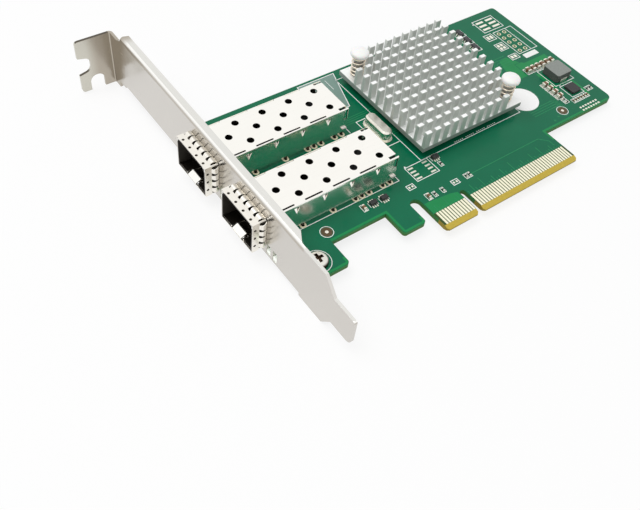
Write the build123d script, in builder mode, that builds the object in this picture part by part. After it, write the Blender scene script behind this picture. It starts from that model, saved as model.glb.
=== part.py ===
"""Two-port network interface card: edge-connector board, module cages, pin-fin heat sink and bracket.

Millimetres. X runs from the bracket to the far end of the board, Y from the mating edge to the top edge
and Z up from the component face. The origin is the middle of the key notch, on the mating edge.
"""
import math
import os

from build123d import *

# Sides of the many-sided holes and turned pieces, few enough to keep the model light
pin_hole_sides = 4
wire_sides = 4
small_hole_sides = 6
hole_sides = 12
head_sides = 20
sticker_sides = 32

# Circuit board
board_thickness = 1.57
board_top_edge = 68.9
board_far_edge = 70.95
board_lower_edge = 13.3
board_setback = 0.4
board_corner = 1.2
far_corner = 2.0
foot_edge = 5.2
foot_corner = 1.0
near_foot_end = -42.1
middle_foot_start = -23.7
middle_foot_end = -16.0

# Edge connector tongue
finger_pitch = 1.0
short_section_fingers = 11
long_section_fingers = 38
finger_width = 0.7
finger_foot = 1.6
finger_head = 6.2
finger_thickness = 0.05
key_notch_width = 1.9
key_notch_height = 8.9
key_to_finger = 1.5
tongue_margin = 1.1
tongue_corner = 0.6
bevel_height = 1.6
bevel_depth = 0.55

# Bracket
bracket_face = -57.15
bracket_sheet = 0.86
bracket_low = -4.24
bracket_width = 18.42
bracket_height = 120.02
bracket_tip = -14.2
bend_radius = 0.4
flange_depth = 2.7
flange_near = 6.4
upper_flange_near = 8.3
flange_near_slope = 3.1
flange_fold_gap = 7.7
flange_far_slope = 0.6
shoulder_upper = -2.3
shoulder_lower = -3.0
tongue_root = -6.4
tongue_low = -0.2
tongue_width = 9.4
tongue_tip_round = 2.0
tongue_tip_corner = 0.6
tab_length = 11.0
tab_drop = 2.2
tab_width = 18.1
tab_step = 3.9
neck_relief = 5.2
tab_corner = 1.0
screw_slot_width = 4.4
screw_slot_depth = 3.8
screw_slot_mouth = 6.2
screw_slot_height = 9.3
screw_slot_corner = 2.0
side_notch_width = 4.6
side_notch_depth = 5.0
side_notch_inset = 5.7
side_notch_corner = 2.2

# Board tabs and their screws
board_tab_y = (9.9, 62.3)
board_tab_width = 7.0
board_tab_reach = 11.6
joggle_start = 3.7
joggle_run = 1.4
screw_x = -49.0
screw_diameter = 2.9
screw_clearance = 0.1
screw_length = 3.6
screw_head_diameter = 5.6
screw_head_height = 1.8
screw_recess_width = 0.8
screw_recess_span = 3.0
screw_recess_depth = 0.9

# Module cages
port_y = (51.1, 28.6)
cage_front = -61.4
cage_rear = -14.2
cage_width = 14.0
cage_top = 9.8
cage_sheet = 0.3
cage_corner = 0.5
cage_wall_foot = 1.3
cage_window_gap = 0.25
cage_fit = 0.05
rear_wall_foot = 2.0
vent_diameter = 2.3
vent_pitch = 8.86
vent_row_pitch = 3.89
vent_rear_margin = 4.5
vent_count = 4
seam_slot_length = 5.6
seam_slot_width = 0.4
seam_slot_rear = 10.5
corner_slit_length = 3.0
cage_pin_x = (-45.2, -35.2, -27.5, -25.3, -22.8, -17.9, -15.4)
cage_pin_width = 0.5
cage_pin_tip = 1.0
cage_pin_hole = 1.05

# Cage floors and latch tongues
floor_lift = 0.1
floor_front_setback = 0.2
floor_upstand = 3.2
upstand_front_setback = 8.0
latch_width = 4.2
latch_slit = 0.5
latch_length = 12.6
latch_rise = 0.7
latch_ramp_drop = 0.9
latch_ramp_length = 1.6
latch_bow_length = 1.8
latch_hole = 2.2
latch_hole_setback = 4.4

# Spring collars
collar_sheet = 0.2
collar_lip = 2.0
collar_finger_pitch = 2.3
collar_finger_width = 1.9
collar_finger_bow = 0.7
collar_finger_gap = 0.2
collar_top_fingers = 6
collar_side_fingers = 4

# Host connectors
host_front = -25.6
host_length = 9.2
host_side_gap = 0.75
host_height = 5.6
host_slot_wall = 1.05
host_slot_height = 1.3
host_slot_middle = 3.1
host_slot_depth = 4.6
host_chamfer = 0.6
host_contact_pitch = 0.8
host_contact_count = 10
host_contact_width = 0.35
host_contact_length = 1.3
host_contact_thickness = 0.2

# Link lights
light_hole_width = 1.8
light_hole_low = -2.5
light_hole_high = 1.0
light_window_gap = 0.35
light_pitch = 2.8
light_length = 1.5
light_width = 1.6
light_height = 1.1

# Heat sink
heatsink_middle = (18.5, 44.3)
heatsink_size = 40.0
heatsink_base = 1.7
heatsink_seat = 2.3
fin_height = 5.4
fin_length = 2.0
fin_width = 1.2
fin_count = 12
push_pin_inset = 3.8
push_pin_hole = 3.5

# Controller chip
controller_size = 25.0
controller_lift = 0.3
controller_step = 0.9
controller_lid = 21.0
controller_corner = 1.0
thermal_pad_thickness = 0.4

# Push pins
push_pin_shank = 3.0
push_pin_board_hole = 3.2
push_pin_cap = 5.7
push_pin_cap_height = 1.9
push_pin_cap_round = 0.9
push_pin_top = 12.9
push_pin_tip = 2.3
push_pin_barb = 0.35
push_pin_split = 0.7
spring_wire = 0.5
spring_diameter = 4.3
spring_clearance = 0.1
spring_turns = 4.0
runs_per_turn = 9

# Crystal
crystal_y = 39.8
crystal_gap = 1.65
crystal_length = 10.2
crystal_width = 3.5
crystal_height = 3.6
crystal_flange = 0.5
crystal_flange_height = 0.45
crystal_round = 0.5
crystal_lead_pitch = 4.88
crystal_lead = 0.43
crystal_lead_hole = 0.8
crystal_lead_tip = 0.8

# Power inductor and regulator
inductor_middle = (62.9, 30.8)
inductor_size = 6.6
inductor_height = 2.8
inductor_corner = 0.5
terminal_width = 3.0
terminal_sheet = 0.15
terminal_rise = 1.1
regulator_middle = (62.3, 22.9)
regulator_size = 4.0
regulator_height = 0.9
regulator_corner = 0.3

# Header holes
header_middle = (63.1, 51.3)
header_pitch = 2.54
header_rows = 5
header_columns = 2
header_hole = 1.0

# Chip parts as length, width, height, with the share of the length that each terminal takes
large_chip = (2.0, 1.25, 1.2)
medium_chip = (1.6, 0.8, 0.8)
small_chip = (1.0, 0.5, 0.45)
terminal_share = 0.24
output_row = (55.9, 36.8)
output_row_pitch = 2.18
output_row_count = 6
input_row = (55.6, 28.8)
input_row_pitch = 2.1
input_row_count = 4
sense_row = (58.4, 18.6)
sense_row_pitch = 1.25
sense_row_count = 6
loose_capacitors = ((-27.6, 18.0), (-9.5, 11.9))
upright_resistors = ((-7.3, 11.7), (-4.3, 11.7), (5.2, 12.2), (6.4, 12.2), (2.1, 19.8), (67.0, 20.6), (68.4, 20.6))
flat_resistors = ((55.9, 20.9), (55.9, 19.5))

# Small leaded packages: middle of each, and the leads on its lower and upper side
switch_middles = ((-24.4, 18.0), (-20.7, 17.9), (2.2, 22.6))
switch_size = (2.2, 1.3, 0.95)
switch_leads_per_side = 3
switch_lead_pitch = 0.7
switch_lead_width = 0.3
switch_lead_reach = 0.5
switch_lead_thickness = 0.15
switch_lift = 0.1

# Coupling capacitors on the solder face
coupling_first = (4.0, 10.2)
coupling_pair_pitch = 4.0
coupling_gap = 1.0
coupling_pairs = 8

# Sticker
sticker_y = 27.6
sticker_gap = 0.2
sticker_diameter = 10.6
sticker_thickness = 0.1

# Places that follow from the sizes above
board_underside = -board_thickness
board_near_edge = bracket_face + bracket_sheet + board_setback
tongue_start = -(key_to_finger + (short_section_fingers - 1) * finger_pitch + tongue_margin)
tongue_end = key_to_finger + (long_section_fingers - 1) * finger_pitch + tongue_margin
slot_middle = (middle_foot_end + tongue_start) / 2
slot_radius = (tongue_start - middle_foot_end) / 2
bracket_high = bracket_low + bracket_width
bracket_inner = bracket_face + bracket_sheet
tab_outer = bracket_tip + bracket_height
tab_seat = tab_outer - bracket_sheet
flange_far = tab_outer - flange_fold_gap
tab_end = bracket_face - tab_length
tab_low = bracket_low - tab_drop
tab_high = tab_low + tab_width
tab_start = tab_outer - tab_step
cage_length = cage_rear - cage_front
host_width = cage_width - 2 * (cage_sheet + host_side_gap)
host_slot_width = host_width - 2 * host_slot_wall
wall_middle = cage_width / 2 - cage_sheet / 2
first_light = -(cage_width / 2 + cage_window_gap + light_window_gap + light_hole_width / 2)
light_offsets = (first_light, first_light - light_pitch)
base_top = heatsink_seat + heatsink_base
fin_top = base_top + fin_height
push_pin_offset = heatsink_size / 2 - push_pin_inset
pin_low = (heatsink_middle[0] + push_pin_offset, heatsink_middle[1] - push_pin_offset)
pin_high = (heatsink_middle[0] - push_pin_offset, heatsink_middle[1] + push_pin_offset)
push_pin_places = (pin_low, pin_high)
cap_underside = push_pin_top - push_pin_cap_height
crystal_x = heatsink_middle[0] - heatsink_size / 2 - crystal_gap - crystal_width / 2 - crystal_flange
crystal_middle = (crystal_x, crystal_y)
lead_offsets = (-crystal_lead_pitch / 2, crystal_lead_pitch / 2)
sticker_middle = (heatsink_middle[0] + heatsink_size / 2 + sticker_gap + sticker_diameter / 2, sticker_y)
finger_x = [-(key_to_finger + k * finger_pitch) for k in range(short_section_fingers)]
finger_x += [key_to_finger + k * finger_pitch for k in range(long_section_fingers)]
on_base = (Align.CENTER, Align.CENTER, Align.MIN)
under_base = (Align.CENTER, Align.CENTER, Align.MAX)

os.makedirs("parts", exist_ok=True)


def save(builder, name):
    """Labels a finished piece and writes its file."""
    builder.part.label = name
    export_step(builder.part, f"parts/{name}.step")


# Circuit board: outline with feet, U slot and bevelled tongue, then its drilled holes
with BuildPart() as circuit_board:
    with BuildSketch(Plane.XY.offset(board_underside)) as outline:
        with BuildLine():
            Polyline(
                (board_near_edge, foot_edge),
                (near_foot_end, foot_edge),
                (near_foot_end, board_lower_edge),
                (middle_foot_start, board_lower_edge),
                (middle_foot_start, foot_edge),
                (middle_foot_end, foot_edge),
                (middle_foot_end, board_lower_edge - slot_radius),
            )
            ThreePointArc(
                (middle_foot_end, board_lower_edge - slot_radius),
                (slot_middle, board_lower_edge),
                (tongue_start, board_lower_edge - slot_radius),
            )
            Polyline(
                (tongue_start, board_lower_edge - slot_radius),
                (tongue_start, 0),
                (tongue_end, 0),
                (tongue_end, board_lower_edge),
                (board_far_edge, board_lower_edge),
                (board_far_edge, board_top_edge),
                (board_near_edge, board_top_edge),
                (board_near_edge, foot_edge),
            )
        make_face()
        with Locations((0, (key_notch_height - key_notch_width / 2) / 2)):
            Rectangle(key_notch_width, key_notch_height - key_notch_width / 2, mode=Mode.SUBTRACT)
        with Locations((0, key_notch_height - key_notch_width / 2)):
            Circle(key_notch_width / 2, mode=Mode.SUBTRACT)
        chamfer(outline.vertices().group_by(Axis.Y)[0], length=tongue_corner)
        fillet(outline.vertices().filter_by_position(Axis.Y, foot_edge - 0.01, foot_edge + 0.01), radius=foot_corner)
        far_end = outline.vertices().group_by(Axis.X)[-1]
        fillet(far_end.sort_by(Axis.Y)[:1], radius=far_corner)
        fillet(outline.vertices().group_by(Axis.Y)[-1], radius=board_corner)
    extrude(amount=board_thickness)
    with BuildSketch(Plane.YZ.offset(tongue_start)) as bevel:
        with BuildLine():
            Polyline((0, 0), (bevel_height, 0), (0, -bevel_depth), (0, 0))
        make_face()
        with BuildLine():
            Polyline(
                (0, board_underside),
                (bevel_height, board_underside),
                (0, board_underside + bevel_depth),
                (0, board_underside),
            )
        make_face()
    extrude(amount=tongue_end - tongue_start, mode=Mode.SUBTRACT)
    with BuildSketch() as holes:
        with Locations([(screw_x, y) for y in board_tab_y]):
            RegularPolygon(screw_diameter / 2 + screw_clearance, hole_sides, major_radius=False)
        with Locations(push_pin_places):
            RegularPolygon(push_pin_board_hole / 2, hole_sides, major_radius=False)
        with Locations([(x, y + side) for x in cage_pin_x for y in port_y for side in (-wall_middle, wall_middle)]):
            RegularPolygon(cage_pin_hole / 2, pin_hole_sides)
        with Locations([(crystal_middle[0], crystal_middle[1] + offset) for offset in lead_offsets]):
            RegularPolygon(crystal_lead_hole / 2, small_hole_sides)
        with Locations(Location(header_middle)):
            with GridLocations(header_pitch, header_pitch, header_columns, header_rows):
                RegularPolygon(header_hole / 2, small_hole_sides)
    extrude(amount=-board_thickness, mode=Mode.SUBTRACT)
save(circuit_board, "circuit_board")

# Edge contacts: one row of thin gold strips on each face of the tongue
finger_length = finger_head - finger_foot
finger_middle = (finger_head + finger_foot) / 2
with BuildPart() as edge_contacts_front:
    with Locations([(x, finger_middle, 0) for x in finger_x]):
        Box(finger_width, finger_length, finger_thickness, align=on_base)
save(edge_contacts_front, "edge_contacts_front")

with BuildPart() as edge_contacts_back:
    with Locations([(x, finger_middle, board_underside) for x in finger_x]):
        Box(finger_width, finger_length, finger_thickness, align=under_base)
save(edge_contacts_back, "edge_contacts_back")

# Bracket: face, flanged channel, folded screw tab and joggled board tabs from one sheet
with BuildPart() as bracket:
    with BuildSketch(Plane.YZ.offset(bracket_face)) as face:
        with BuildLine():
            Polyline(
                (flange_near, bracket_low),
                (flange_near, bracket_high),
                (shoulder_upper, bracket_high),
                (tongue_root, tongue_low + tongue_width),
                (bracket_tip, tongue_low + tongue_width),
                (bracket_tip, tongue_low),
                (tongue_root, tongue_low),
                (shoulder_lower, bracket_low),
                (flange_near, bracket_low),
            )
        make_face()
        fillet(face.vertices().group_by(Axis.X)[0].sort_by(Axis.Y)[-1:], radius=tongue_tip_corner)
        fillet(face.vertices().group_by(Axis.X)[0].sort_by(Axis.Y)[:1], radius=tongue_tip_round)
    extrude(amount=bracket_sheet)
    with BuildSketch(Plane.XZ.offset(-flange_far)) as channel:
        with Locations((bracket_face + flange_depth / 2, (bracket_low + bracket_high) / 2)):
            Rectangle(flange_depth, bracket_width)
        fillet(channel.vertices().group_by(Axis.X)[0], radius=bend_radius + bracket_sheet)
    extrude(amount=flange_far - flange_near)
    with BuildSketch(Plane.XZ.offset(-flange_far)) as hollow:
        with Locations((bracket_inner + flange_depth / 2, (bracket_low + bracket_high) / 2)):
            Rectangle(flange_depth, bracket_width - 2 * bracket_sheet)
        fillet(hollow.vertices().group_by(Axis.X)[0], radius=bend_radius)
    extrude(amount=flange_far - flange_near, mode=Mode.SUBTRACT)
    flange_edge = bracket_face + flange_depth
    with BuildSketch(Plane.XY.offset(bracket_low)) as flange_ends:
        with BuildLine():
            Polyline(
                (bracket_inner, flange_far),
                (flange_edge, flange_far - flange_far_slope),
                (flange_edge, flange_far),
                (bracket_inner, flange_far),
            )
        make_face()
    extrude(amount=bracket_width, mode=Mode.SUBTRACT)
    with BuildSketch(Plane.XY.offset(bracket_high)) as upper_flange_end:
        with BuildLine():
            Polyline(
                (bracket_inner, flange_near),
                (bracket_inner, upper_flange_near),
                (flange_edge, upper_flange_near + flange_near_slope),
                (flange_edge, flange_near),
                (bracket_inner, flange_near),
            )
        make_face()
    extrude(amount=-(bend_radius + 2 * bracket_sheet), mode=Mode.SUBTRACT)
    with BuildSketch(Plane.YZ.offset(bracket_face)) as neck:
        with BuildLine():
            Polyline(
                (flange_far, bracket_low),
                (flange_far, bracket_high - bend_radius - bracket_sheet),
                (tab_outer - neck_relief, tab_high),
                (tab_start, tab_high),
                (tab_start, bracket_low),
                (flange_far, bracket_low),
            )
        make_face()
    extrude(amount=bracket_sheet)
    with BuildSketch(Plane.XY.offset(tab_low)) as fold:
        with BuildLine():
            Polyline(
                (bracket_inner, tab_start),
                (bracket_inner, tab_outer),
                (tab_end, tab_outer),
                (tab_end, tab_seat),
                (bracket_face, tab_seat),
                (bracket_face, tab_start),
                (bracket_inner, tab_start),
            )
        make_face()
        fillet(fold.vertices().group_by(Axis.X)[-1].sort_by(Axis.Y)[-1:], radius=bend_radius + bracket_sheet)
        inside = fold.vertices().filter_by_position(Axis.X, bracket_face - 0.01, bracket_face + 0.01)
        fillet(inside.sort_by(Axis.Y)[-1:], radius=bend_radius)
    extrude(amount=tab_width)
    fillet(bracket.edges().filter_by(Axis.Y).group_by(Axis.X)[0], radius=tab_corner)
    with BuildSketch(Plane.XZ.offset(-tab_seat)) as tab_cuts:
        slot_end = tab_end + screw_slot_depth
        slot_middle_z = tab_low + screw_slot_height
        with BuildLine():
            Polyline(
                (tab_end, slot_middle_z - screw_slot_mouth / 2),
                (slot_end, slot_middle_z - screw_slot_width / 2),
                (slot_end, slot_middle_z + screw_slot_width / 2),
                (tab_end, slot_middle_z + screw_slot_mouth / 2),
                (tab_end, slot_middle_z - screw_slot_mouth / 2),
            )
        make_face()
        fillet(tab_cuts.vertices().group_by(Axis.X)[-1], radius=screw_slot_corner)
        with Locations((bracket_face - side_notch_inset, tab_low + side_notch_depth / 2)):
            Rectangle(side_notch_width, side_notch_depth)
        notch_high = tab_low + side_notch_depth
        notch_top = tab_cuts.vertices().filter_by_position(Axis.Y, notch_high - 0.01, notch_high + 0.01)
        fillet(notch_top, radius=side_notch_corner)
    extrude(amount=-bracket_sheet, mode=Mode.SUBTRACT)
    for y in board_tab_y:
        low = bracket_low
        high = board_underside - bracket_sheet
        start = bracket_face + bend_radius + bracket_sheet
        climb = bracket_face + joggle_start
        level = climb + joggle_run
        with BuildSketch(Plane.XZ.offset(-(y - board_tab_width / 2))) as joggle:
            with BuildLine():
                Polyline(
                    (start, low),
                    (climb, low),
                    (level, high),
                    (bracket_face + board_tab_reach, high),
                    (bracket_face + board_tab_reach, board_underside),
                    (level - bracket_sheet / 2, board_underside),
                    (climb - bracket_sheet / 2, low + bracket_sheet),
                    (start, low + bracket_sheet),
                    (start, low),
                )
            make_face()
        extrude(amount=-board_tab_width)
    tab_tips = bracket.edges().filter_by(Axis.Z).group_by(Axis.X)[-1]
    chamfer(tab_tips, length=board_tab_width / 3)
    with BuildSketch(Plane.XY.offset(board_underside)) as tab_bores:
        with Locations([(screw_x, y) for y in board_tab_y]):
            RegularPolygon(screw_diameter / 2 + screw_clearance / 2, hole_sides, major_radius=False)
    extrude(amount=-bracket_sheet, mode=Mode.SUBTRACT)
    window_low = floor_lift - cage_window_gap - collar_sheet / 2
    window_high = cage_top + cage_window_gap
    with BuildSketch(Plane.YZ.offset(bracket_face)) as windows:
        for y in port_y:
            with Locations((y, (window_low + window_high) / 2)):
                Rectangle(cage_width + 2 * cage_window_gap, window_high - window_low)
            with Locations([(y + offset, (light_hole_low + light_hole_high) / 2) for offset in light_offsets]):
                Rectangle(light_hole_width, light_hole_high - light_hole_low)
    extrude(amount=bracket_sheet, mode=Mode.SUBTRACT)
save(bracket, "bracket")

# Bracket screws: pan heads with a cross recess, down through the board into the board tabs
with BuildPart() as bracket_screws:
    with BuildSketch() as heads:
        with Locations([(screw_x, y) for y in board_tab_y]):
            RegularPolygon(screw_head_diameter / 2, head_sides)
    extrude(amount=screw_head_height)
    chamfer(bracket_screws.edges().group_by(Axis.Z)[-1], length=screw_head_height / 2)
    with BuildSketch() as shanks:
        with Locations([(screw_x, y) for y in board_tab_y]):
            RegularPolygon(screw_diameter / 2, hole_sides)
    extrude(amount=-screw_length)
    with Locations([(screw_x, y, screw_head_height) for y in board_tab_y]):
        Box(screw_recess_span, screw_recess_width, screw_recess_depth, align=under_base, mode=Mode.SUBTRACT)
        Box(screw_recess_width, screw_recess_span, screw_recess_depth, align=under_base, mode=Mode.SUBTRACT)
save(bracket_screws, "bracket_screws")

# Cages, collars and host connectors, once for each port
for number, middle in enumerate(port_y, start=1):
    floor_half = cage_width / 2 - cage_sheet - cage_fit
    floor_low = floor_lift
    floor_high = floor_lift + cage_sheet

    # Shell: folded cover with vents, seam slots and rear wall
    with BuildPart() as cage_shell:
        with BuildSketch(Plane.YZ.offset(cage_front)) as section:
            with Locations((middle, (cage_wall_foot + cage_top) / 2)):
                Rectangle(cage_width, cage_top - cage_wall_foot)
            fillet(section.vertices().group_by(Axis.Y)[-1], radius=cage_corner)
            with Locations((middle, (cage_wall_foot + cage_top) / 2 - cage_sheet)):
                Rectangle(cage_width - 2 * cage_sheet, cage_top - cage_wall_foot, mode=Mode.SUBTRACT)
        extrude(amount=cage_length)
        with BuildSketch(Plane.YZ.offset(cage_rear - cage_sheet)) as rear_wall:
            with Locations((middle, (rear_wall_foot + cage_top - cage_sheet) / 2)):
                Rectangle(cage_width - 2 * cage_sheet, cage_top - cage_sheet - rear_wall_foot)
        extrude(amount=cage_sheet)
        with BuildSketch(Plane.XY.offset(cage_top)) as top_cuts:
            last_vent = cage_rear - vent_rear_margin
            for row, shift in ((-1, 0), (0, vent_pitch / 2), (1, 0)):
                with Locations([(last_vent - shift - k * vent_pitch, middle + row * vent_row_pitch)
                                for k in range(vent_count)]):
                    RegularPolygon(vent_diameter / 2, hole_sides)
            seam_y = cage_width / 2 - cage_sheet - seam_slot_width / 2
            for side in (-seam_y, seam_y):
                with Locations([(cage_rear - seam_slot_rear - k * vent_pitch, middle + side)
                                for k in range(vent_count)]):
                    Rectangle(seam_slot_length, seam_slot_width)
                with Locations((cage_rear - corner_slit_length / 2, middle + side)):
                    Rectangle(corner_slit_length, seam_slot_width)
        extrude(amount=-cage_sheet, mode=Mode.SUBTRACT)
    save(cage_shell, f"cage_shell_{number}")

    # Floor: shallow tray with a sprung latch tongue that rises and then ramps down at the mouth
    tray_front = cage_front + floor_front_setback
    tray_rear = cage_rear - cage_sheet - cage_fit
    latch_root = cage_front + latch_length
    with BuildPart() as cage_base:
        with BuildSketch(Plane.XY.offset(floor_low)) as tray:
            with Locations(((tray_front + tray_rear) / 2, middle)):
                Rectangle(tray_rear - tray_front, 2 * floor_half)
            with Locations(((tray_front + latch_root) / 2, middle)):
                Rectangle(latch_root - tray_front, latch_width + 2 * latch_slit, mode=Mode.SUBTRACT)
            with Locations(((host_front + tray_rear) / 2, middle)):
                Rectangle(tray_rear - host_front + 2 * host_contact_length, host_width + cage_sheet, mode=Mode.SUBTRACT)
        extrude(amount=cage_sheet)
        upstand_front = cage_front + upstand_front_setback
        with Locations([((upstand_front + tray_rear) / 2, middle + side, floor_low)
                        for side in (-floor_half + cage_sheet / 2, floor_half - cage_sheet / 2)]):
            Box(tray_rear - upstand_front, cage_sheet, floor_upstand, align=on_base)
        bow_start = cage_front + latch_ramp_length + latch_bow_length
        bow_end = cage_front + latch_ramp_length
        with BuildSketch(Plane.XZ.offset(-(middle - latch_width / 2))) as latch:
            with BuildLine():
                Polyline(
                    (latch_root + cage_sheet, floor_low),
                    (bow_start, floor_low),
                    (bow_end, floor_low + latch_rise),
                    (cage_front, floor_low + latch_rise - latch_ramp_drop),
                    (cage_front, floor_high + latch_rise - latch_ramp_drop),
                    (bow_end, floor_high + latch_rise),
                    (bow_start, floor_high),
                    (latch_root + cage_sheet, floor_high),
                    (latch_root + cage_sheet, floor_low),
                )
            make_face()
        extrude(amount=-latch_width)
        with BuildSketch(Plane.XY.offset(floor_low)) as latch_window:
            with Locations((bow_start + latch_hole_setback, middle)):
                RegularPolygon(latch_hole / 2, 3)
        extrude(amount=cage_sheet, mode=Mode.SUBTRACT)
    save(cage_base, f"cage_base_{number}")

    # Collar: lip round the mouth and bowed fingers that reach back to the bracket
    lip_half = cage_width / 2 + cage_fit
    lip_low = floor_lift - latch_ramp_drop + latch_rise - cage_fit
    lip_high = cage_top + cage_fit
    finger_root = cage_front + collar_lip
    finger_end = bracket_face - collar_finger_gap
    finger_crest = (finger_root + finger_end) / 2
    with BuildPart() as spring_collar:
        with BuildSketch(Plane.YZ.offset(cage_front)) as lip:
            with Locations((middle, (lip_low + lip_high) / 2)):
                Rectangle(2 * (lip_half + collar_sheet), lip_high - lip_low + 2 * collar_sheet)
            chamfer(lip.vertices(), length=cage_corner / 2)
            with Locations((middle, (lip_low + lip_high) / 2)):
                Rectangle(2 * lip_half, lip_high - lip_low, mode=Mode.SUBTRACT)
        extrude(amount=collar_lip)
        lip_middle = (lip_low + lip_high) / 2
        sides = (
            (Plane((0, middle, lip_high), (1, 0, 0), (0, -1, 0)), collar_top_fingers),
            (Plane((0, middle, lip_low), (1, 0, 0), (0, 1, 0)), collar_top_fingers),
            (Plane((0, middle + lip_half, lip_middle), (1, 0, 0), (0, 0, 1)), collar_side_fingers),
            (Plane((0, middle - lip_half, lip_middle), (1, 0, 0), (0, 0, -1)), collar_side_fingers),
        )
        for side, count in sides:
            for k in range(count):
                along = (k - (count - 1) / 2) * collar_finger_pitch
                with BuildSketch(side.offset(along - collar_finger_width / 2)) as finger:
                    with BuildLine():
                        Polyline(
                            (finger_root, 0),
                            (finger_crest, collar_finger_bow),
                            (finger_end, 0),
                            (finger_end, collar_sheet),
                            (finger_crest, collar_finger_bow + collar_sheet),
                            (finger_root, collar_sheet),
                            (finger_root, 0),
                        )
                    make_face()
                extrude(amount=collar_finger_width)
    save(spring_collar, f"spring_collar_{number}")

    # Host connector: moulded block with the slot for a module's edge
    with BuildPart() as host_connector:
        with Locations((host_front + host_length / 2, middle, 0)):
            Box(host_length, host_width, host_height, align=on_base)
        chamfer(host_connector.edges().filter_by(Axis.Y).group_by(Axis.Z)[-1], length=host_chamfer)
        with Locations((host_front + host_slot_depth / 2, middle, host_slot_middle)):
            Box(host_slot_depth, host_slot_width, host_slot_height, mode=Mode.SUBTRACT)
    save(host_connector, f"host_connector_{number}")

    # Host contacts: solder tails behind the block
    tail_x = host_front + host_length + host_contact_length / 2
    first_tail = -(host_contact_count - 1) / 2 * host_contact_pitch
    with BuildPart() as host_contacts:
        with Locations([(tail_x, middle + first_tail + k * host_contact_pitch, 0) for k in range(host_contact_count)]):
            Box(host_contact_length, host_contact_width, host_contact_thickness, align=on_base)
    save(host_contacts, f"host_contacts_{number}")

# Cage pins: press-fit tails of both shells, down through the board
pin_bottom = board_underside - cage_pin_tip
with BuildPart() as cage_pins:
    with Locations([(x, y + side, pin_bottom)
                    for x in cage_pin_x for y in port_y for side in (-wall_middle, wall_middle)]):
        Box(cage_pin_width, cage_sheet, cage_wall_foot - pin_bottom, align=on_base)
save(cage_pins, "cage_pins")

# Link lights: side-looking lights on the board's near edge, one behind each light hole
with BuildPart() as link_lights:
    light_places = [(board_near_edge, y + offset, 0) for y in port_y for offset in light_offsets]
    with Locations(light_places):
        Box(light_length, light_width, light_height, align=(Align.MIN, Align.CENTER, Align.MIN))
    chamfer(link_lights.edges().filter_by(Axis.Y).group_by(Axis.X)[0].group_by(Axis.Z)[-1], length=light_height / 3)
save(link_lights, "link_lights")

# Heat sink: square base with a lattice of cross-cut pins, bare at the two push-pin corners
fin_pitch_x = (heatsink_size - fin_length) / (fin_count - 1)
fin_pitch_y = (heatsink_size - fin_width) / (fin_count - 1)
bare_corner_fins = math.ceil((push_pin_inset + spring_diameter / 2 + spring_clearance) / fin_pitch_x)


def stands(column, row):
    """Says whether the lattice has a pin at this column and row."""
    last = fin_count - bare_corner_fins
    return not ((column >= last and row < bare_corner_fins) or (column < bare_corner_fins and row >= last))


with BuildPart() as heatsink:
    with Locations((heatsink_middle[0], heatsink_middle[1], heatsink_seat)):
        Box(heatsink_size, heatsink_size, heatsink_base, align=on_base)
    with BuildSketch(Plane.XY.offset(base_top)) as fins:
        half = (fin_count - 1) / 2
        with Locations([(heatsink_middle[0] + (column - half) * fin_pitch_x,
                         heatsink_middle[1] + (row - half) * fin_pitch_y)
                        for column in range(fin_count) for row in range(fin_count) if stands(column, row)]):
            Rectangle(fin_length, fin_width)
    extrude(amount=fin_height)
    with BuildSketch(Plane.XY.offset(heatsink_seat)) as bores:
        with Locations(push_pin_places):
            RegularPolygon(push_pin_hole / 2, hole_sides, major_radius=False)
    extrude(amount=heatsink_base, mode=Mode.SUBTRACT)
save(heatsink, "heatsink")

# Controller chip and the pad that carries its heat
pad_low = heatsink_seat - thermal_pad_thickness
with BuildPart() as network_controller:
    with BuildSketch(Plane.XY.offset(controller_lift)) as carrier:
        with Locations(heatsink_middle):
            Rectangle(controller_size, controller_size)
        chamfer(carrier.vertices().group_by(Axis.Y)[-1].sort_by(Axis.X)[:1], length=controller_corner)
    extrude(amount=controller_step)
    with BuildSketch(Plane.XY.offset(controller_lift + controller_step)) as lid:
        with Locations(heatsink_middle):
            Rectangle(controller_lid, controller_lid)
    extrude(amount=pad_low - controller_lift - controller_step)
save(network_controller, "network_controller")

with BuildPart() as thermal_pad:
    with Locations((heatsink_middle[0], heatsink_middle[1], pad_low)):
        Box(controller_lid, controller_lid, thermal_pad_thickness, align=on_base)
save(thermal_pad, "thermal_pad")

# Push pins: domed cap on a straight shank, with a split barbed tip under the board
tip_low = board_underside - push_pin_tip
shank = push_pin_shank / 2
tip_taper = math.degrees(math.atan((shank / 2 + push_pin_barb) / push_pin_tip))
with BuildPart() as push_pins:
    with BuildSketch(Plane.XY.offset(cap_underside)) as caps:
        with Locations(push_pin_places):
            RegularPolygon(push_pin_cap / 2, head_sides)
    extrude(amount=push_pin_cap_height)
    chamfer(push_pins.edges().group_by(Axis.Z)[-1], length=push_pin_cap_round)
    with BuildSketch(Plane.XY.offset(cap_underside)) as pin_shanks:
        with Locations(push_pin_places):
            RegularPolygon(shank, hole_sides)
    extrude(amount=board_underside - cap_underside)
    with BuildSketch(Plane.XY.offset(board_underside)) as barbs:
        with Locations(push_pin_places):
            RegularPolygon(shank + push_pin_barb, hole_sides)
    extrude(amount=push_pin_tip, dir=(0, 0, -1), taper=tip_taper)
    with Locations([(x, y, tip_low) for x, y in push_pin_places]):
        Box(push_pin_split, push_pin_cap, push_pin_tip, align=on_base, mode=Mode.SUBTRACT)
save(push_pins, "push_pins")

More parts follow.
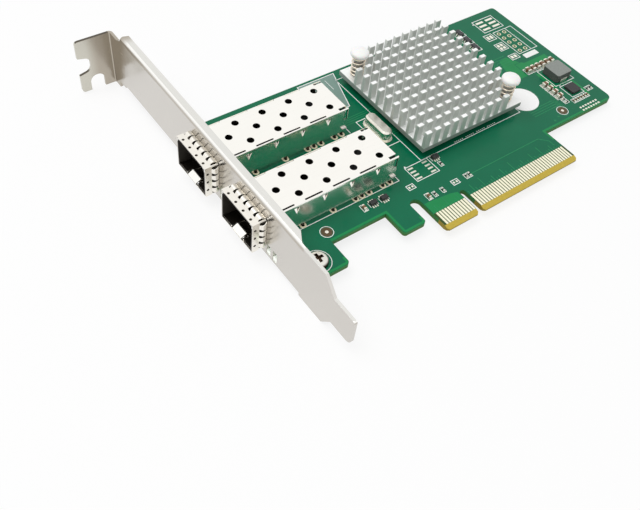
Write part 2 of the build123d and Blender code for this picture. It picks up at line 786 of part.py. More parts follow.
# Push-pin springs: one coil of short straight runs under each cap
spring_radius = (spring_diameter - spring_wire) / 2
coil_low = base_top + spring_wire / 2
coil_height = cap_underside - base_top - spring_wire
coil_steps = int(spring_turns * runs_per_turn)
with BuildPart() as push_pin_springs:
    for x, y in push_pin_places:
        with BuildLine() as coil:
            Polyline(*[(x + spring_radius * math.cos(k / runs_per_turn * math.tau),
                        y + spring_radius * math.sin(k / runs_per_turn * math.tau),
                        coil_low + coil_height * k / coil_steps) for k in range(coil_steps + 1)])
        with BuildSketch(Plane(coil.line @ 0, z_dir=coil.line % 0)):
            RegularPolygon(spring_wire / 2, wire_sides)
        sweep(path=coil.line, transition=Transition.RIGHT)
save(push_pin_springs, "push_pin_springs")

# Crystal: drawn oval can on its flange, with two leads through the board
with BuildPart() as crystal:
    with BuildSketch() as crystal_foot:
        with Locations(crystal_middle):
            SlotOverall(crystal_length + 2 * crystal_flange, crystal_width + 2 * crystal_flange, rotation=90)
    extrude(amount=crystal_flange_height)
    with BuildSketch(Plane.XY.offset(crystal_flange_height)) as crystal_can:
        with Locations(crystal_middle):
            SlotOverall(crystal_length, crystal_width, rotation=90)
    extrude(amount=crystal_height - crystal_flange_height)
    chamfer(crystal.edges().group_by(Axis.Z)[-1], length=crystal_round)
    with BuildSketch() as crystal_leads:
        with Locations([(crystal_middle[0], crystal_middle[1] + offset) for offset in lead_offsets]):
            RegularPolygon(crystal_lead / 2, small_hole_sides)
    extrude(amount=-(board_thickness + crystal_lead_tip))
save(crystal, "crystal")

# Power inductor: moulded block between two bent terminals
block_low = terminal_sheet
with BuildPart() as power_inductor:
    with Locations((inductor_middle[0], inductor_middle[1], block_low)):
        Box(inductor_size, inductor_size, inductor_height, align=on_base)
    chamfer(power_inductor.edges().filter_by(Axis.Z), length=inductor_corner)
    chamfer(power_inductor.edges().group_by(Axis.Z)[-1], length=terminal_sheet)
save(power_inductor, "power_inductor")

with BuildPart() as inductor_terminals:
    for side in (-1, 1):
        wall = inductor_middle[1] + side * inductor_size / 2
        with BuildSketch(Plane.YZ.offset(inductor_middle[0] - terminal_width / 2)) as terminal:
            with BuildLine():
                Polyline(
                    (wall, terminal_rise),
                    (wall + side * terminal_sheet, terminal_rise),
                    (wall + side * terminal_sheet, 0),
                    (wall - side * terminal_rise, 0),
                    (wall - side * terminal_rise, terminal_sheet),
                    (wall, terminal_sheet),
                    (wall, terminal_rise),
                )
            make_face()
        extrude(amount=terminal_width)
save(inductor_terminals, "inductor_terminals")

# Regulator chip: thin square moulding
with BuildPart() as regulator_chip:
    with Locations((regulator_middle[0], regulator_middle[1], 0)):
        Box(regulator_size, regulator_size, regulator_height, align=on_base)
    chamfer(regulator_chip.edges().filter_by(Axis.Z), length=regulator_corner)
save(regulator_chip, "regulator_chip")


def chip_body(place, size, upright, face):
    """Adds the middle of a chip part, standing on the board face or hanging under it."""
    length, width, height = size
    span = length * (1 - 2 * terminal_share)
    plan = (width, span) if upright else (span, width)
    with Locations((place[0], place[1], face)):
        Box(*plan, height, align=under_base if face < 0 else on_base)


def chip_ends(place, size, upright, face):
    """Adds the two end terminals of a chip part."""
    length, width, height = size
    cap = length * terminal_share
    reach = (length - cap) / 2
    plan = (width, cap) if upright else (cap, width)
    for end in (-reach, reach):
        shift = (0, end) if upright else (end, 0)
        with Locations((place[0] + shift[0], place[1] + shift[1], face)):
            Box(*plan, height, align=under_base if face < 0 else on_base)


# Capacitors: two rows beside the inductor, the sense row and two loose ones
output_places = [(output_row[0] + k * output_row_pitch, output_row[1]) for k in range(output_row_count)]
input_places = [(input_row[0], input_row[1] - k * input_row_pitch) for k in range(input_row_count)]
sense_places = [(sense_row[0] + k * sense_row_pitch, sense_row[1]) for k in range(sense_row_count)]
capacitors = [(place, large_chip, True) for place in output_places]
capacitors += [(place, large_chip, False) for place in input_places]
capacitors += [(place, small_chip, True) for place in sense_places]
capacitors += [(place, medium_chip, True) for place in loose_capacitors]
with BuildPart() as capacitor_bodies:
    for place, size, upright in capacitors:
        chip_body(place, size, upright, 0)
save(capacitor_bodies, "capacitor_bodies")

with BuildPart() as capacitor_terminals:
    for place, size, upright in capacitors:
        chip_ends(place, size, upright, 0)
save(capacitor_terminals, "capacitor_terminals")

# Resistors
resistors = [(place, small_chip, True) for place in upright_resistors]
resistors += [(place, small_chip, False) for place in flat_resistors]
with BuildPart() as resistor_bodies:
    for place, size, upright in resistors:
        chip_body(place, size, upright, 0)
save(resistor_bodies, "resistor_bodies")

with BuildPart() as resistor_terminals:
    for place, size, upright in resistors:
        chip_ends(place, size, upright, 0)
save(resistor_terminals, "resistor_terminals")

# Coupling capacitors in pairs along the solder face, above the contacts
coupling_places = [(coupling_first[0] + k * coupling_pair_pitch + pair * coupling_gap, coupling_first[1])
                   for k in range(coupling_pairs) for pair in (0, 1)]
with BuildPart() as rear_capacitor_bodies:
    for place in coupling_places:
        chip_body(place, small_chip, True, board_underside)
save(rear_capacitor_bodies, "rear_capacitor_bodies")

with BuildPart() as rear_capacitor_terminals:
    for place in coupling_places:
        chip_ends(place, small_chip, True, board_underside)
save(rear_capacitor_terminals, "rear_capacitor_terminals")

# Small leaded packages
with BuildPart() as switch_packages:
    with Locations([(x, y, switch_lift) for x, y in switch_middles]):
        Box(*switch_size, align=on_base)
    chamfer(switch_packages.edges().group_by(Axis.Z)[-1], length=switch_lift)
save(switch_packages, "switch_packages")

with BuildPart() as switch_leads:
    reach = switch_size[1] / 2 + switch_lead_reach / 2
    first_lead = -(switch_leads_per_side - 1) / 2 * switch_lead_pitch
    with Locations([(x + first_lead + k * switch_lead_pitch, y + side, 0)
                    for x, y in switch_middles for side in (-reach, reach) for k in range(switch_leads_per_side)]):
        Box(switch_lead_width, switch_lead_reach, switch_lead_thickness, align=on_base)
save(switch_leads, "switch_leads")

# Round sticker on the board beside the heat sink
with BuildPart() as round_sticker:
    with BuildSketch() as sticker_outline:
        with Locations(sticker_middle):
            RegularPolygon(sticker_diameter / 2, sticker_sides)
    extrude(amount=sticker_thickness)
save(round_sticker, "round_sticker")
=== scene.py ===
"""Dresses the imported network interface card: print, copper, solder, pressed cages, springs and finishes."""
import math

import bmesh
import bpy
from bpy.props import FloatProperty, FloatVectorProperty, PointerProperty
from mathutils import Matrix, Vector
from mathutils.geometry import delaunay_2d_cdt


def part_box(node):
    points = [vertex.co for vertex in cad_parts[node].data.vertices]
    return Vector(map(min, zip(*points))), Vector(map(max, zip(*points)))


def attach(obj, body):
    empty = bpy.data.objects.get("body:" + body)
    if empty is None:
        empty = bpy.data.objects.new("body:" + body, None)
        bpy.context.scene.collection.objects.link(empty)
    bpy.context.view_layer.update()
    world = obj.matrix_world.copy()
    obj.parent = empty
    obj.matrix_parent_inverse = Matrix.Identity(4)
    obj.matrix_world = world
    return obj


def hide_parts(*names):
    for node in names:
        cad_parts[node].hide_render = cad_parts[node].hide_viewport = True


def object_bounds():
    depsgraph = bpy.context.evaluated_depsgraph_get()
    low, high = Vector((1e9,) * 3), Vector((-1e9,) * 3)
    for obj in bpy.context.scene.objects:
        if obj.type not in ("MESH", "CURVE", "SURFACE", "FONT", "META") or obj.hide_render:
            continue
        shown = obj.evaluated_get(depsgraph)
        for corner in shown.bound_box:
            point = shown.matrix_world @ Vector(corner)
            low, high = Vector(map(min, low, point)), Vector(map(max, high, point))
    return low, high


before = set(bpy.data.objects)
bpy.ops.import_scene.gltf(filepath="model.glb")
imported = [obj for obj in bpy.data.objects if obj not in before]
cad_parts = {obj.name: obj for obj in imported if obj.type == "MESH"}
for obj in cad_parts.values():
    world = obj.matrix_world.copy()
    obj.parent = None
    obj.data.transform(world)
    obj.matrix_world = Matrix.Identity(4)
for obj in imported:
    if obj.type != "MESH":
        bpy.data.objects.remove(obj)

bl_info = {
    "name": "Network Interface Card",
    "version": (1, 0, 0),
    "blender": (4, 5, 0),
    "location": "3D View > Sidebar > Card",
    "description": "Adds the fine pieces and finishes of a two-port network card to its packed solids",
    "category": "Object",
}

CAD_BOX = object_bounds()
MM = 0.001

# How far a layer on the board reaches into it, and the broken edge of a pad
ROOT = -0.01
PAD_EDGE = 0.02


def screen(red, green, blue):
    """Linear colour from screen values of 0 to 255."""
    parts = (red / 255, green / 255, blue / 255)
    return tuple(part / 12.92 if part <= 0.04045 else ((part + 0.055) / 1.055) ** 2.4 for part in parts)


def scaled(tone, share):
    """A colour made darker or lighter by a share."""
    return tuple(min(1.0, part * share) for part in tone)


def colour(name, description, *parts):
    """A colour property whose default is given in screen values."""
    return FloatVectorProperty(
        name=name, description=description, default=screen(*parts), subtype="COLOR", size=3, min=0, max=1)


def length(name, description, default):
    """A length property whose default is given in millimetres."""
    return FloatProperty(
        name=name, description=description, default=default * MM, min=0, precision=5, unit="LENGTH",
        subtype="DISTANCE")


class CardSizes(bpy.types.PropertyGroup):
    """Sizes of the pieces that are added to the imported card."""

    print_line: length("Print line", "Width of the white lines printed on the board", 0.24)
    print_height: length("Print height", "How far the white print stands off the mask", 0.02)
    trace_width: length("Trace width", "Width of the copper traces under the mask", 0.22)
    trace_height: length("Trace height", "How far a trace lifts the mask", 0.02)
    border_width: length("Border width", "Width of the lighter border along the lower edges", 0.7)
    pad_height: length("Pad height", "Height of the tinned pads", 0.05)
    solder_reach: length("Solder reach", "How far a fillet runs out from a chip's end", 0.32)
    vent_diameter: length("Vent diameter", "Diameter of the round vents in the cage covers", 2.1)
    bend_radius: length("Bend radius", "Outer radius of the cage covers' bends", 0.5)
    cage_sheet: length("Cage sheet", "Thickness of the cage covers' sheet", 0.3)
    collar_sheet: length("Collar sheet", "Thickness of the spring collars' sheet", 0.2)
    spring_wire: length("Spring wire", "Wire diameter of the push-pin springs", 0.5)
    spring_diameter: length("Spring diameter", "Outside diameter of the push-pin springs", 4.3)
    fin_round: length("Fin edge", "Width of the broken edges on the heat sink's pins", 0.1)
    sheet_round: length("Sheet edge", "Width of the broken edges on the bracket", 0.1)
    moulding_round: length("Moulding edge", "Width of the broken edges on mouldings and chip parts", 0.06)


class CardColours(bpy.types.PropertyGroup):
    """Colours of the card's finishes."""

    mask: colour("Board mask", "Green coating over bare laminate", 6, 107, 74)
    trace_mask: colour("Mask over traces", "Green coating over the narrow traces", 36, 138, 88)
    copper_mask: colour("Mask over copper", "Green coating over the wide copper areas", 26, 138, 78)
    laminate: colour("Laminate", "Cut edge of the board", 84, 124, 60)
    bare: colour("Bare laminate", "Laminate round the aiming dots", 78, 60, 28)
    tongue: colour("Tongue laminate", "Bare laminate on the bevelled tongue", 200, 176, 74)
    ink: colour("White print", "Ink of the board's printed lines", 248, 251, 248)
    grey_ink: colour("Grey field", "Ink of the plain grey field behind the upper cage", 122, 150, 140)
    tin: colour("Tinned copper", "Pads and chip ends", 240, 236, 224)
    ring: colour("Hole rings", "Rings round the drilled holes", 250, 240, 208)
    gold: colour("Contact gold", "Edge contacts", 252, 244, 218)
    bracket: colour("Bracket steel", "Plated steel of the bracket", 208, 204, 198)
    # Painted shade beside the bracket's fold and at the foot of its bends
    fold_shaded: colour("Fold shade", "Plated steel of the bracket beside its fold", 180, 172, 159)
    screw: colour("Screw steel", "Bracket screws", 228, 225, 217)
    nickel: colour("Cage nickel", "Outside of the cage covers", 250, 248, 242)
    # Painted shade inside the cages, on their trays and on the pin tails
    cage_inside_shade: colour("Cage inside", "Painted shade inside the cages", 66, 62, 56)
    collar: colour("Collar steel", "Spring collars", 243, 239, 230)
    aluminium: colour("Aluminium", "Heat sink", 214, 217, 213)
    nylon: colour("Nylon", "Push pins", 252, 252, 249)
    spring: colour("Spring wire", "Push-pin springs", 232, 221, 204)
    crystal: colour("Crystal can", "Drawn can of the crystal", 240, 237, 226)
    moulding: colour("Dark moulding", "Chips and connectors", 34, 36, 36)
    inductor: colour("Inductor powder", "Pressed block of the inductor", 138, 143, 138)
    capacitor: colour("Capacitor ceramic", "Bodies of the capacitors", 118, 86, 58)
    resistor: colour("Resistor glaze", "Bodies of the resistors", 30, 30, 33)
    rubber: colour("Thermal pad", "Pad between the controller and the heat sink", 150, 156, 160)
    lens: colour("Light lens", "Clear moulding of the link lights", 240, 244, 236)
    paper: colour("Sticker paper", "Round sticker", 254, 254, 253)


class CardStage(bpy.types.PropertyGroup):
    """Floor, light and camera."""

    floor: colour("Floor", "Colour of the floor", 250, 250, 250)
    floor_lift: FloatProperty(
        name="Floor lift", description="Share of plain white in the floor", default=0.82, min=0, max=1)
    fill: FloatProperty(name="Fill", description="Strength of the light from all round", default=0.56, min=0)
    lamp: FloatProperty(name="Lamp", description="Power of the soft lamp", default=5.0, min=0, unit="POWER")
    lamp_size: FloatProperty(
        name="Lamp size", description="Side of the soft lamp", default=0.7, min=0, unit="LENGTH")
    lamp_place: FloatVectorProperty(
        name="Lamp place", description="Middle of the soft lamp", default=(-0.30, 0.18, 0.95), subtype="XYZ")
    eye: FloatVectorProperty(
        name="Camera place", description="Where the camera stands",
        default=(-0.130678, -0.078953, 0.153975), subtype="XYZ")
    turn: FloatVectorProperty(
        name="Camera turn", description="Rotation of the camera",
        default=tuple(math.radians(angle) for angle in (38.307, -5.212, -36.175)), subtype="EULER")
    lens: FloatProperty(
        name="Lens", description="Focal length on a 36 mm sensor", default=43.376, min=1, unit="CAMERA")


def plug(value, socket):
    """Links a signal to a socket, or sets a plain value on it."""
    if isinstance(value, Signal):
        value.tree.links.new(value.socket, socket)
    else:
        socket.default_value = value


def step(operation, swapped=False):
    """Makes a Python operator that adds one Math node."""
    def apply(self, other):
        return self.maths(operation, *((other, self) if swapped else (self, other)))

    return apply


class Signal:
    """A shader value that Python's own operators work on, each step as a Math node."""

    def __init__(self, tree, socket):
        self.tree = tree
        self.socket = socket

    def maths(self, operation, *values):
        """A Math node on these values, as a new signal."""
        made = self.tree.nodes.new("ShaderNodeMath")
        made.operation = operation
        for place, value in enumerate(values):
            plug(value, made.inputs[place])
        return Signal(self.tree, made.outputs[0])

    def sibling(self, output):
        """Another output of the node that this signal comes from."""
        return Signal(self.tree, self.socket.node.outputs[output])

    def __abs__(self):
        return self.maths("ABSOLUTE", self)

    __add__ = __radd__ = step("ADD")
    __sub__ = step("SUBTRACT")
    __rsub__ = step("SUBTRACT", swapped=True)
    __mul__ = __rmul__ = step("MULTIPLY")
    __pow__ = step("POWER")
    __gt__ = step("GREATER_THAN")
    __lt__ = step("LESS_THAN")
    larger = step("MAXIMUM")


class Nodes:
    """The shader nodes of one tree."""

    def __init__(self, tree):
        self.tree = tree

    def node(self, kind, settings=None, inputs=None, output=0):
        """Adds a node, sets it up, feeds its sockets and returns one of its outputs."""
        made = self.tree.nodes.new(kind)
        for key, value in (settings or {}).items():
            setattr(made, key, value)
        for key, value in (inputs or {}).items():
            plug(value, made.inputs[key])
        return Signal(self.tree, made.outputs[output])


class Finish(Nodes):
    """One procedural surface, built on a Principled shader."""

    def __init__(self, name, constants=None):
        self.material = bpy.data.materials.new(name)
        self.material.use_nodes = True
        super().__init__(self.material.node_tree)
        self.shader = self.tree.nodes["Principled BSDF"]
        for socket, value in (constants or {}).items():
            self.shader.inputs[socket].default_value = value

    def place(self):
        """Point on the surface in the card's frame, in metres."""
        return self.node("ShaderNodeTexCoord", output="Object")

    def split(self, vector):
        """The three parts of a vector."""
        first = self.node("ShaderNodeSeparateXYZ", inputs={0: vector})
        return first, first.sibling(1), first.sibling(2)

    def axes(self):
        """The three parts of the point on the surface, in millimetres."""
        inputs = {0: self.place(), "Scale": 1 / MM}
        return self.split(self.node("ShaderNodeVectorMath", {"operation": "SCALE"}, inputs))

    def facing(self):
        """How far the surface faces up, from -1 to 1."""
        return self.split(self.node("ShaderNodeTexCoord", output="Normal"))[2]

    def noise(self, scale, detail=2.0, vector=None):
        """Soft noise from 0 to 1, with its scale in features per metre."""
        return self.node("ShaderNodeTexNoise", inputs={
            "Vector": vector or self.place(), "Scale": scale, "Detail": detail}, output="Fac")

    def grain(self, *scales, detail=3.0):
        """Noise with its own scale along each axis."""
        vector = self.node("ShaderNodeVectorMath", {"operation": "MULTIPLY"}, {0: self.place(), 1: scales})
        return self.noise(1.0, detail, vector)

    def cells(self, scale):
        """Small cells, for speckle."""
        inputs = {"Vector": self.place(), "Scale": scale}
        return self.node("ShaderNodeTexVoronoi", inputs=inputs, output="Distance")

    def ease(self, value, low, high):
        """Smooth step of a value from 0 at low to 1 at high."""
        return self.node("ShaderNodeMapRange", {"interpolation_type": "SMOOTHSTEP"}, {
            "Value": value, "From Min": low, "From Max": high, "To Min": 0.0, "To Max": 1.0})

    def mix(self, factor, first, second):
        """Colour between two colours."""
        inputs = {0: factor}
        for key, part in ((6, first), (7, second)):
            inputs[key] = part if isinstance(part, Signal) else (*part, 1.0)
        return self.node("ShaderNodeMix", {"data_type": "RGBA"}, inputs, output=2)

    def shade(self, tone, amount, share):
        """A tone made darker and lighter by a signal from 0 to 1."""
        return self.mix(amount, scaled(tone, 1 - share), scaled(tone, 1 + share))

    def paint(self, tone, roughness, height=None, strength=0.0, depth=0.0):
        """Sends the colour, the roughness and, if given, the relief with its depth in millimetres."""
        plug(tone, self.shader.inputs["Base Color"])
        plug(roughness, self.shader.inputs["Roughness"])
        if height is not None:
            relief = {"Height": height, "Strength": strength, "Distance": depth * MM}
            plug(self.node("ShaderNodeBump", inputs=relief), self.shader.inputs["Normal"])
        return self.material


class Stock:
    """Mesh parts in millimetres, gathered into one piece of the card."""

    def __init__(self):
        self.mesh = bmesh.new()

    def face(self, corners, finish=0):
        """One face between vertices that exist already."""
        self.mesh.faces.new(corners).material_index = finish

    def loft(self, rings, closed=False, finishes=()):
        """Skins a run of equal rings, and caps its ends or joins the last ring to the first."""
        rows = [[self.mesh.verts.new(point) for point in ring] for ring in rings]
        pairs = list(zip(rows, rows[1:]))
        if closed:
            pairs.append((rows[-1], rows[0]))
        for low, high in pairs:
            for k in range(len(low)):
                after = (k + 1) % len(low)
                self.face((low[k], low[after], high[after], high[k]), finishes[k] if finishes else 0)
        if not closed:
            self.face(rows[0][::-1])
            self.face(rows[-1])

    def plate(self, outline, high):
        """Flat layer on the board with this outline."""
        self.loft([[(x, y, z) for x, y in outline] for z in (ROOT, high)])

    def block(self, low, high, edge):
        """Block between two corners, with broken edges on its top."""
        rings = []
        for z, inset in ((low[2], 0), (high[2] - edge, 0), (high[2], edge)):
            corners = frame_points(low[0] + inset, low[1] + inset, high[0] - inset, high[1] - inset)
            rings.append([(*corner, z) for corner in corners])
        self.loft(rings)

    def turned(self, middle, profile, sides=32):
        """Solid turned about an upright axis, from radius and height pairs."""
        self.loft([round_points(middle, radius, sides, z) for radius, z in profile])

    def washer(self, middle, inner, outer, high, sides, low=ROOT):
        """Flat ring on the board."""
        profile = ((inner, low), (outer, low), (outer - 0.02, high), (inner, high))
        self.loft([round_points(middle, radius, sides, z) for radius, z in profile], closed=True)

    def ribbon(self, points, width, high, closed=False):
        """Flat line of even width along points on the board, with mitred corners."""
        count = len(points)
        rings = []
        for k in range(count):
            point = Vector(points[k])
            before = point - Vector(points[k - 1]) if closed or k else None
            after = Vector(points[(k + 1) % count]) - point if closed or k < count - 1 else None
            first = (before or after).normalized()
            second = (after or before).normalized()
            along = (first + second).normalized()
            across = Vector((-along.y, along.x)) * (width / 2 / max(0.3, along.dot(first)))
            left, right = point + across, point - across
            rings.append(((*right, ROOT), (*left, ROOT), (*left, high), (*right, high)))
        self.loft(rings, closed)

    def pressed(self, outline, holes, creases, place, depth, inside=0):
        """Sheet cut from a flat pattern with holes, folded by place(u, v, depth) and closed at its edges."""
        points, edges = [], []
        for loop in (outline, *holes):
            start = len(points)
            points += loop
            edges += [(start + k, start + (k + 1) % len(loop)) for k in range(len(loop))]
        for crease in creases:
            edges.append((len(points), len(points) + 1))
            points += crease
        flat, _, faces, _, _, _ = delaunay_2d_cdt([Vector(point) for point in points], edges, [], 0, 1e-6)
        kept = []
        for corners in faces:
            middle = sum((flat[k] for k in corners), Vector((0, 0))) / len(corners)
            if within(middle, outline) and not any(within(middle, hole) for hole in holes):
                kept.append(corners)
        used = sorted({k for corners in kept for k in corners})
        outer = {k: self.mesh.verts.new(place(flat[k].x, flat[k].y, 0.0)) for k in used}
        inner = {k: self.mesh.verts.new(place(flat[k].x, flat[k].y, depth)) for k in used}
        sides = {pair for corners in kept for pair in zip(corners, (*corners[1:], corners[0]))}
        for corners in kept:
            self.face([outer[k] for k in corners])
            self.face([inner[k] for k in reversed(corners)], inside)
        for k, after in sorted(sides):
            if (after, k) not in sides:
                self.face((outer[after], outer[k], inner[k], inner[after]))

    def piece(self, name, slot, *finishes, stands_for=(), smooth=35):
        """Hands the parts over as one piece that rides on the card."""
        bmesh.ops.recalc_face_normals(self.mesh, faces=self.mesh.faces)
        bmesh.ops.scale(self.mesh, vec=(MM, MM, MM), verts=self.mesh.verts)
        mesh = bpy.data.meshes.new(name)
        self.mesh.to_mesh(mesh)
        self.mesh.free()
        mesh.polygons.foreach_set("use_smooth", [True] * len(mesh.polygons))
        mesh.set_sharp_from_angle(angle=math.radians(smooth))
        for finish in finishes:
            mesh.materials.append(finish)
        piece = bpy.data.objects.new(name, mesh)
        bpy.context.scene.collection.objects.link(piece)
        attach(piece, "root")
        if stands_for:
            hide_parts(*stands_for)


def span(node):
    """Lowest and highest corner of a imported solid, in millimetres."""
    low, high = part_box(node)
    return low / MM, high / MM


def round_points(middle, radius, sides, *height):
    """Points round a circle, flat or at one height."""
    turns = [math.tau * k / sides for k in range(sides)]
    return [(middle[0] + radius * math.cos(t), middle[1] + radius * math.sin(t), *height) for t in turns]


def corner_points(middle, radius, start, sides=5):
    """Points on a quarter turn of a circle, from an angle in degrees."""
    turns = [math.radians(start + 90 * k / sides) for k in range(sides + 1)]
    return [(middle[0] + radius * math.cos(t), middle[1] + radius * math.sin(t)) for t in turns]


def slot_points(low, high, y, half, sides=6):
    """Outline of a round-ended slot along X."""
    arc = [math.pi * k / sides - math.pi / 2 for k in range(sides + 1)]
    right = [(high - half + half * math.cos(t), y + half * math.sin(t)) for t in arc]
    left = [(low + half - half * math.cos(t), y - half * math.sin(t)) for t in arc]
    return right + left


def frame_points(x0, y0, x1, y1):
    """Corners of an upright rectangle."""
    return ((x0, y0), (x1, y0), (x1, y1), (x0, y1))


def within(point, loop):
    """Says whether a flat point lies inside a loop."""
    inside = False
    for (x0, y0), (x1, y1) in zip(loop, (*loop[1:], loop[0])):
        crosses = (y0 > point[1]) != (y1 > point[1])
        if crosses and point[0] < (x1 - x0) * (point[1] - y0) / (y1 - y0) + x0:
            inside = not inside
    return inside


def dress(finish, *nodes):
    """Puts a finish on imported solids."""
    for node in nodes:
        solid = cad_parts[node]
        if not solid.material_slots:
            solid.data.materials.append(finish)
        for holder in solid.material_slots:
            holder.material = finish


def break_edges(width, segments, *nodes):
    """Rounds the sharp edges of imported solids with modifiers."""
    for node in nodes:
        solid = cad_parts[node]
        weld = solid.modifiers.new("join_faces", "WELD")
        weld.merge_threshold = 1e-6
        bevel = solid.modifiers.new("broken_edges", "BEVEL")
        bevel.width = width
        bevel.segments = segments
        bevel.limit_method = "ANGLE"
        bevel.angle_limit = math.radians(40)


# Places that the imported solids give
CAGE_LOW, CAGE_HIGH = span("cage_shell_1")
SINK_LOW, SINK_HIGH = span("heatsink")
CAPS_LOW, CAPS_HIGH = span("push_pins")
BOARD_LOW = span("circuit_board")[0]
PORTS = {number: sum(corner.y for corner in span(f"cage_shell_{number}")) / 2 for number in (1, 2)}
PORTS_MIDDLE = sum(PORTS.values()) / 2

# Push pins, screws, drilled holes and edge contacts
CAP_RADIUS = 2.85
CAP_UNDERSIDE = 11.0
SINK_BASE_TOP = 4.0
PUSH_PINS = (
    (CAPS_HIGH.x - CAP_RADIUS, CAPS_LOW.y + CAP_RADIUS),
    (CAPS_LOW.x + CAP_RADIUS, CAPS_HIGH.y - CAP_RADIUS),
)
SCREWS = ((-49.0, 9.9), (-49.0, 62.3))
CAGE_PIN_X = (-45.2, -35.2, -27.5, -25.3, -22.8, -17.9, -15.4)
CAGE_PINS = [(x, y + side) for y in PORTS.values() for side in (-6.85, 6.85) for x in CAGE_PIN_X]
CRYSTAL_LEGS = [(-5.4, 37.36), (-5.4, 42.24)]
HEADER = [(63.1 + (i - 0.5) * 2.54, 51.3 + (k - 2) * 2.54) for i in range(2) for k in range(5)]
FINGERS = [-(1.5 + k) for k in range(11)] + [1.5 + k for k in range(38)]
AIMING_MARKS = ((-41.2, 16.6), (51.6, 17.3))
LIGHT_OFFSETS = (-8.5, -11.3)

# Chip parts as place, size and whether they stand upright in the plan
LARGE, MEDIUM, SMALL = (2.0, 1.25, 1.2), (1.6, 0.8, 0.8), (1.0, 0.5, 0.45)
CHIPS = [((55.9 + 2.18 * k, 36.8), LARGE, True) for k in range(6)]
CHIPS += [((55.6, 28.8 - 2.1 * k), LARGE, False) for k in range(4)]
CHIPS += [((58.4 + 1.25 * k, 18.6), SMALL, True) for k in range(6)]
CHIPS += [(place, MEDIUM, True) for place in ((-27.6, 18.0), (-9.5, 11.9))]
CHIPS += [(place, SMALL, True) for place in (
    (-7.3, 11.7), (-4.3, 11.7), (5.2, 12.2), (6.4, 12.2), (2.1, 19.8), (67.0, 20.6), (68.4, 20.6))]
CHIPS += [(place, SMALL, False) for place in ((55.9, 20.9), (55.9, 19.5))]
EDGE_PACKAGES = ((49.2, 63.1), (49.0, 58.9), (48.8, 54.8))
SWITCHES = ((-24.4, 18.0), (-20.7, 17.9), (2.2, 22.6))
COUPLING = [(4.0 + 4.0 * k + pair, 10.2) for k in range(8) for pair in (0, 1)]

# Copper areas that lie under the mask, and the lighter border along the board's lower edges
COPPER_AREAS = (
    ((49.6, 35.2), (54.4, 35.2), (54.4, 41.6), (56.8, 41.6), (54.8, 45.8), (51.0, 45.3), (49.6, 41.0)),
    ((54.6, 38.2), (67.9, 38.2), (67.9, 40.6), (58.2, 40.6), (57.4, 41.4), (54.6, 41.4)),
    frame_points(57.2, 26.0, 59.0, 34.2),
    frame_points(64.9, 18.4, 66.2, 26.4),
    ((-12.4, 6.35), (-1.2, 6.35), (-1.2, 8.9), (-3.4, 9.6), (-11.0, 10.4), (-12.4, 10.4)),
)
BORDERS = (
    ((-55.3, 5.65), *corner_points((-43.1, 6.2), 0.55, 270), (-42.55, 7.6)),
    ((-42.0, 13.75), (-23.25, 13.75), *corner_points((-22.7, 6.2), 0.55, 180),
     *corner_points((-17.0, 6.2), 0.55, 270), (-16.45, 7.6)),
    ((39.15, 9.5), (39.15, 13.75), (69.3, 13.75)),
)

# White print as frames and lines, and the outline of the grey field
PRINT_FRAMES = [
    (SINK_LOW.x - 0.5, SINK_LOW.y - 0.5, SINK_HIGH.x + 0.5, SINK_HIGH.y + 0.5),
    (-8.3, 17.9, 0.0, 23.7), (57.8, 59.2, 66.8, 65.8), (60.3, 44.9, 68.8, 57.8), (55.8, 54.9, 59.3, 58.0),
    (55.8, 49.0, 59.3, 52.6), (55.8, 43.6, 59.3, 46.0), (58.6, 26.6, 67.2, 35.0), (59.5, 20.1, 65.1, 25.7),
    (-0.3, 11.3, 2.1, 13.0), (-12.6, 16.4, -10.2, 18.1),
]
PRINT_FRAMES += [(x - 1.9, y - 1.75, x + 1.9, y + 1.75) for x, y in EDGE_PACKAGES]
PRINT_LINES = (
    ((66.0, 44.9), (66.0, 57.8)),
    ((-53.4, 20.9), (-12.7, 20.9), (-12.7, 36.3)),
    ((-12.7, 43.4), (-12.7, 58.8), (-53.4, 58.8)),
    ((-8.4, 33.2), (-2.3, 33.2)),
    ((-8.4, 33.2), (-8.4, 46.2), (-2.3, 46.2)),
)
GREY_FIELD = ((-14.6, 59.0), (-12.4, 59.0), (-12.4, 53.0), (-5.6, 53.0), (-0.8, 67.9), (-14.6, 67.9))

MASK_GLOSS = {"IOR": 1.45, "Specular IOR Level": 0.22}
METAL = {"Metallic": 1.0}


def metal(name, tone, roughness, grain, relief=0.25, metallic=1.0):
    """Plain worked metal with a grain."""
    finish = Finish(name, {"Metallic": metallic})
    streaks = finish.grain(*grain)
    mottle = finish.noise(160.0, 3.0)
    tone = finish.shade(tone, streaks * 0.6 + mottle * 0.4, 0.07)
    rough = roughness + (streaks - 0.5) * 0.1 + (mottle - 0.5) * 0.12
    return finish.paint(tone, rough, streaks, relief, 0.01)


def moulded(name, tone, roughness, scale=2600.0, depth=0.02):
    """Filled moulding with a fine speckle."""
    finish = Finish(name)
    speckle = finish.cells(scale)
    mottle = finish.noise(420.0, 4.0)
    tone = finish.shade(tone, speckle * 0.7 + mottle * 0.5, 0.28)
    return finish.paint(tone, roughness + (mottle - 0.5) * 0.2, speckle, 0.35, depth)


def mottled(name, tone, share, roughness, swing, scale, detail, constants=None, relief=0.0):
    """Plain surface whose colour, roughness and relief follow one soft noise."""
    finish = Finish(name, constants)
    mottle = finish.noise(scale, detail)
    height = mottle if relief else None
    return finish.paint(finish.shade(tone, mottle, share), roughness + mottle * swing, height, relief, 0.02)


def copper_mask(name, tone):
    """Green mask where copper lies under it."""
    return mottled(name, tone, 0.14, 0.2, 0.08, 160.0, 2.0, MASK_GLOSS)


def print_ink(name, tone):
    """Screen-printed ink, slightly worn."""
    finish = Finish(name)
    mesh_marks = finish.noise(2600.0, 2.0)
    wear = finish.noise(300.0, 3.0)
    return finish.paint(finish.shade(tone, mesh_marks * 0.5 + wear * 0.5, 0.1), 0.55 + wear * 0.2)


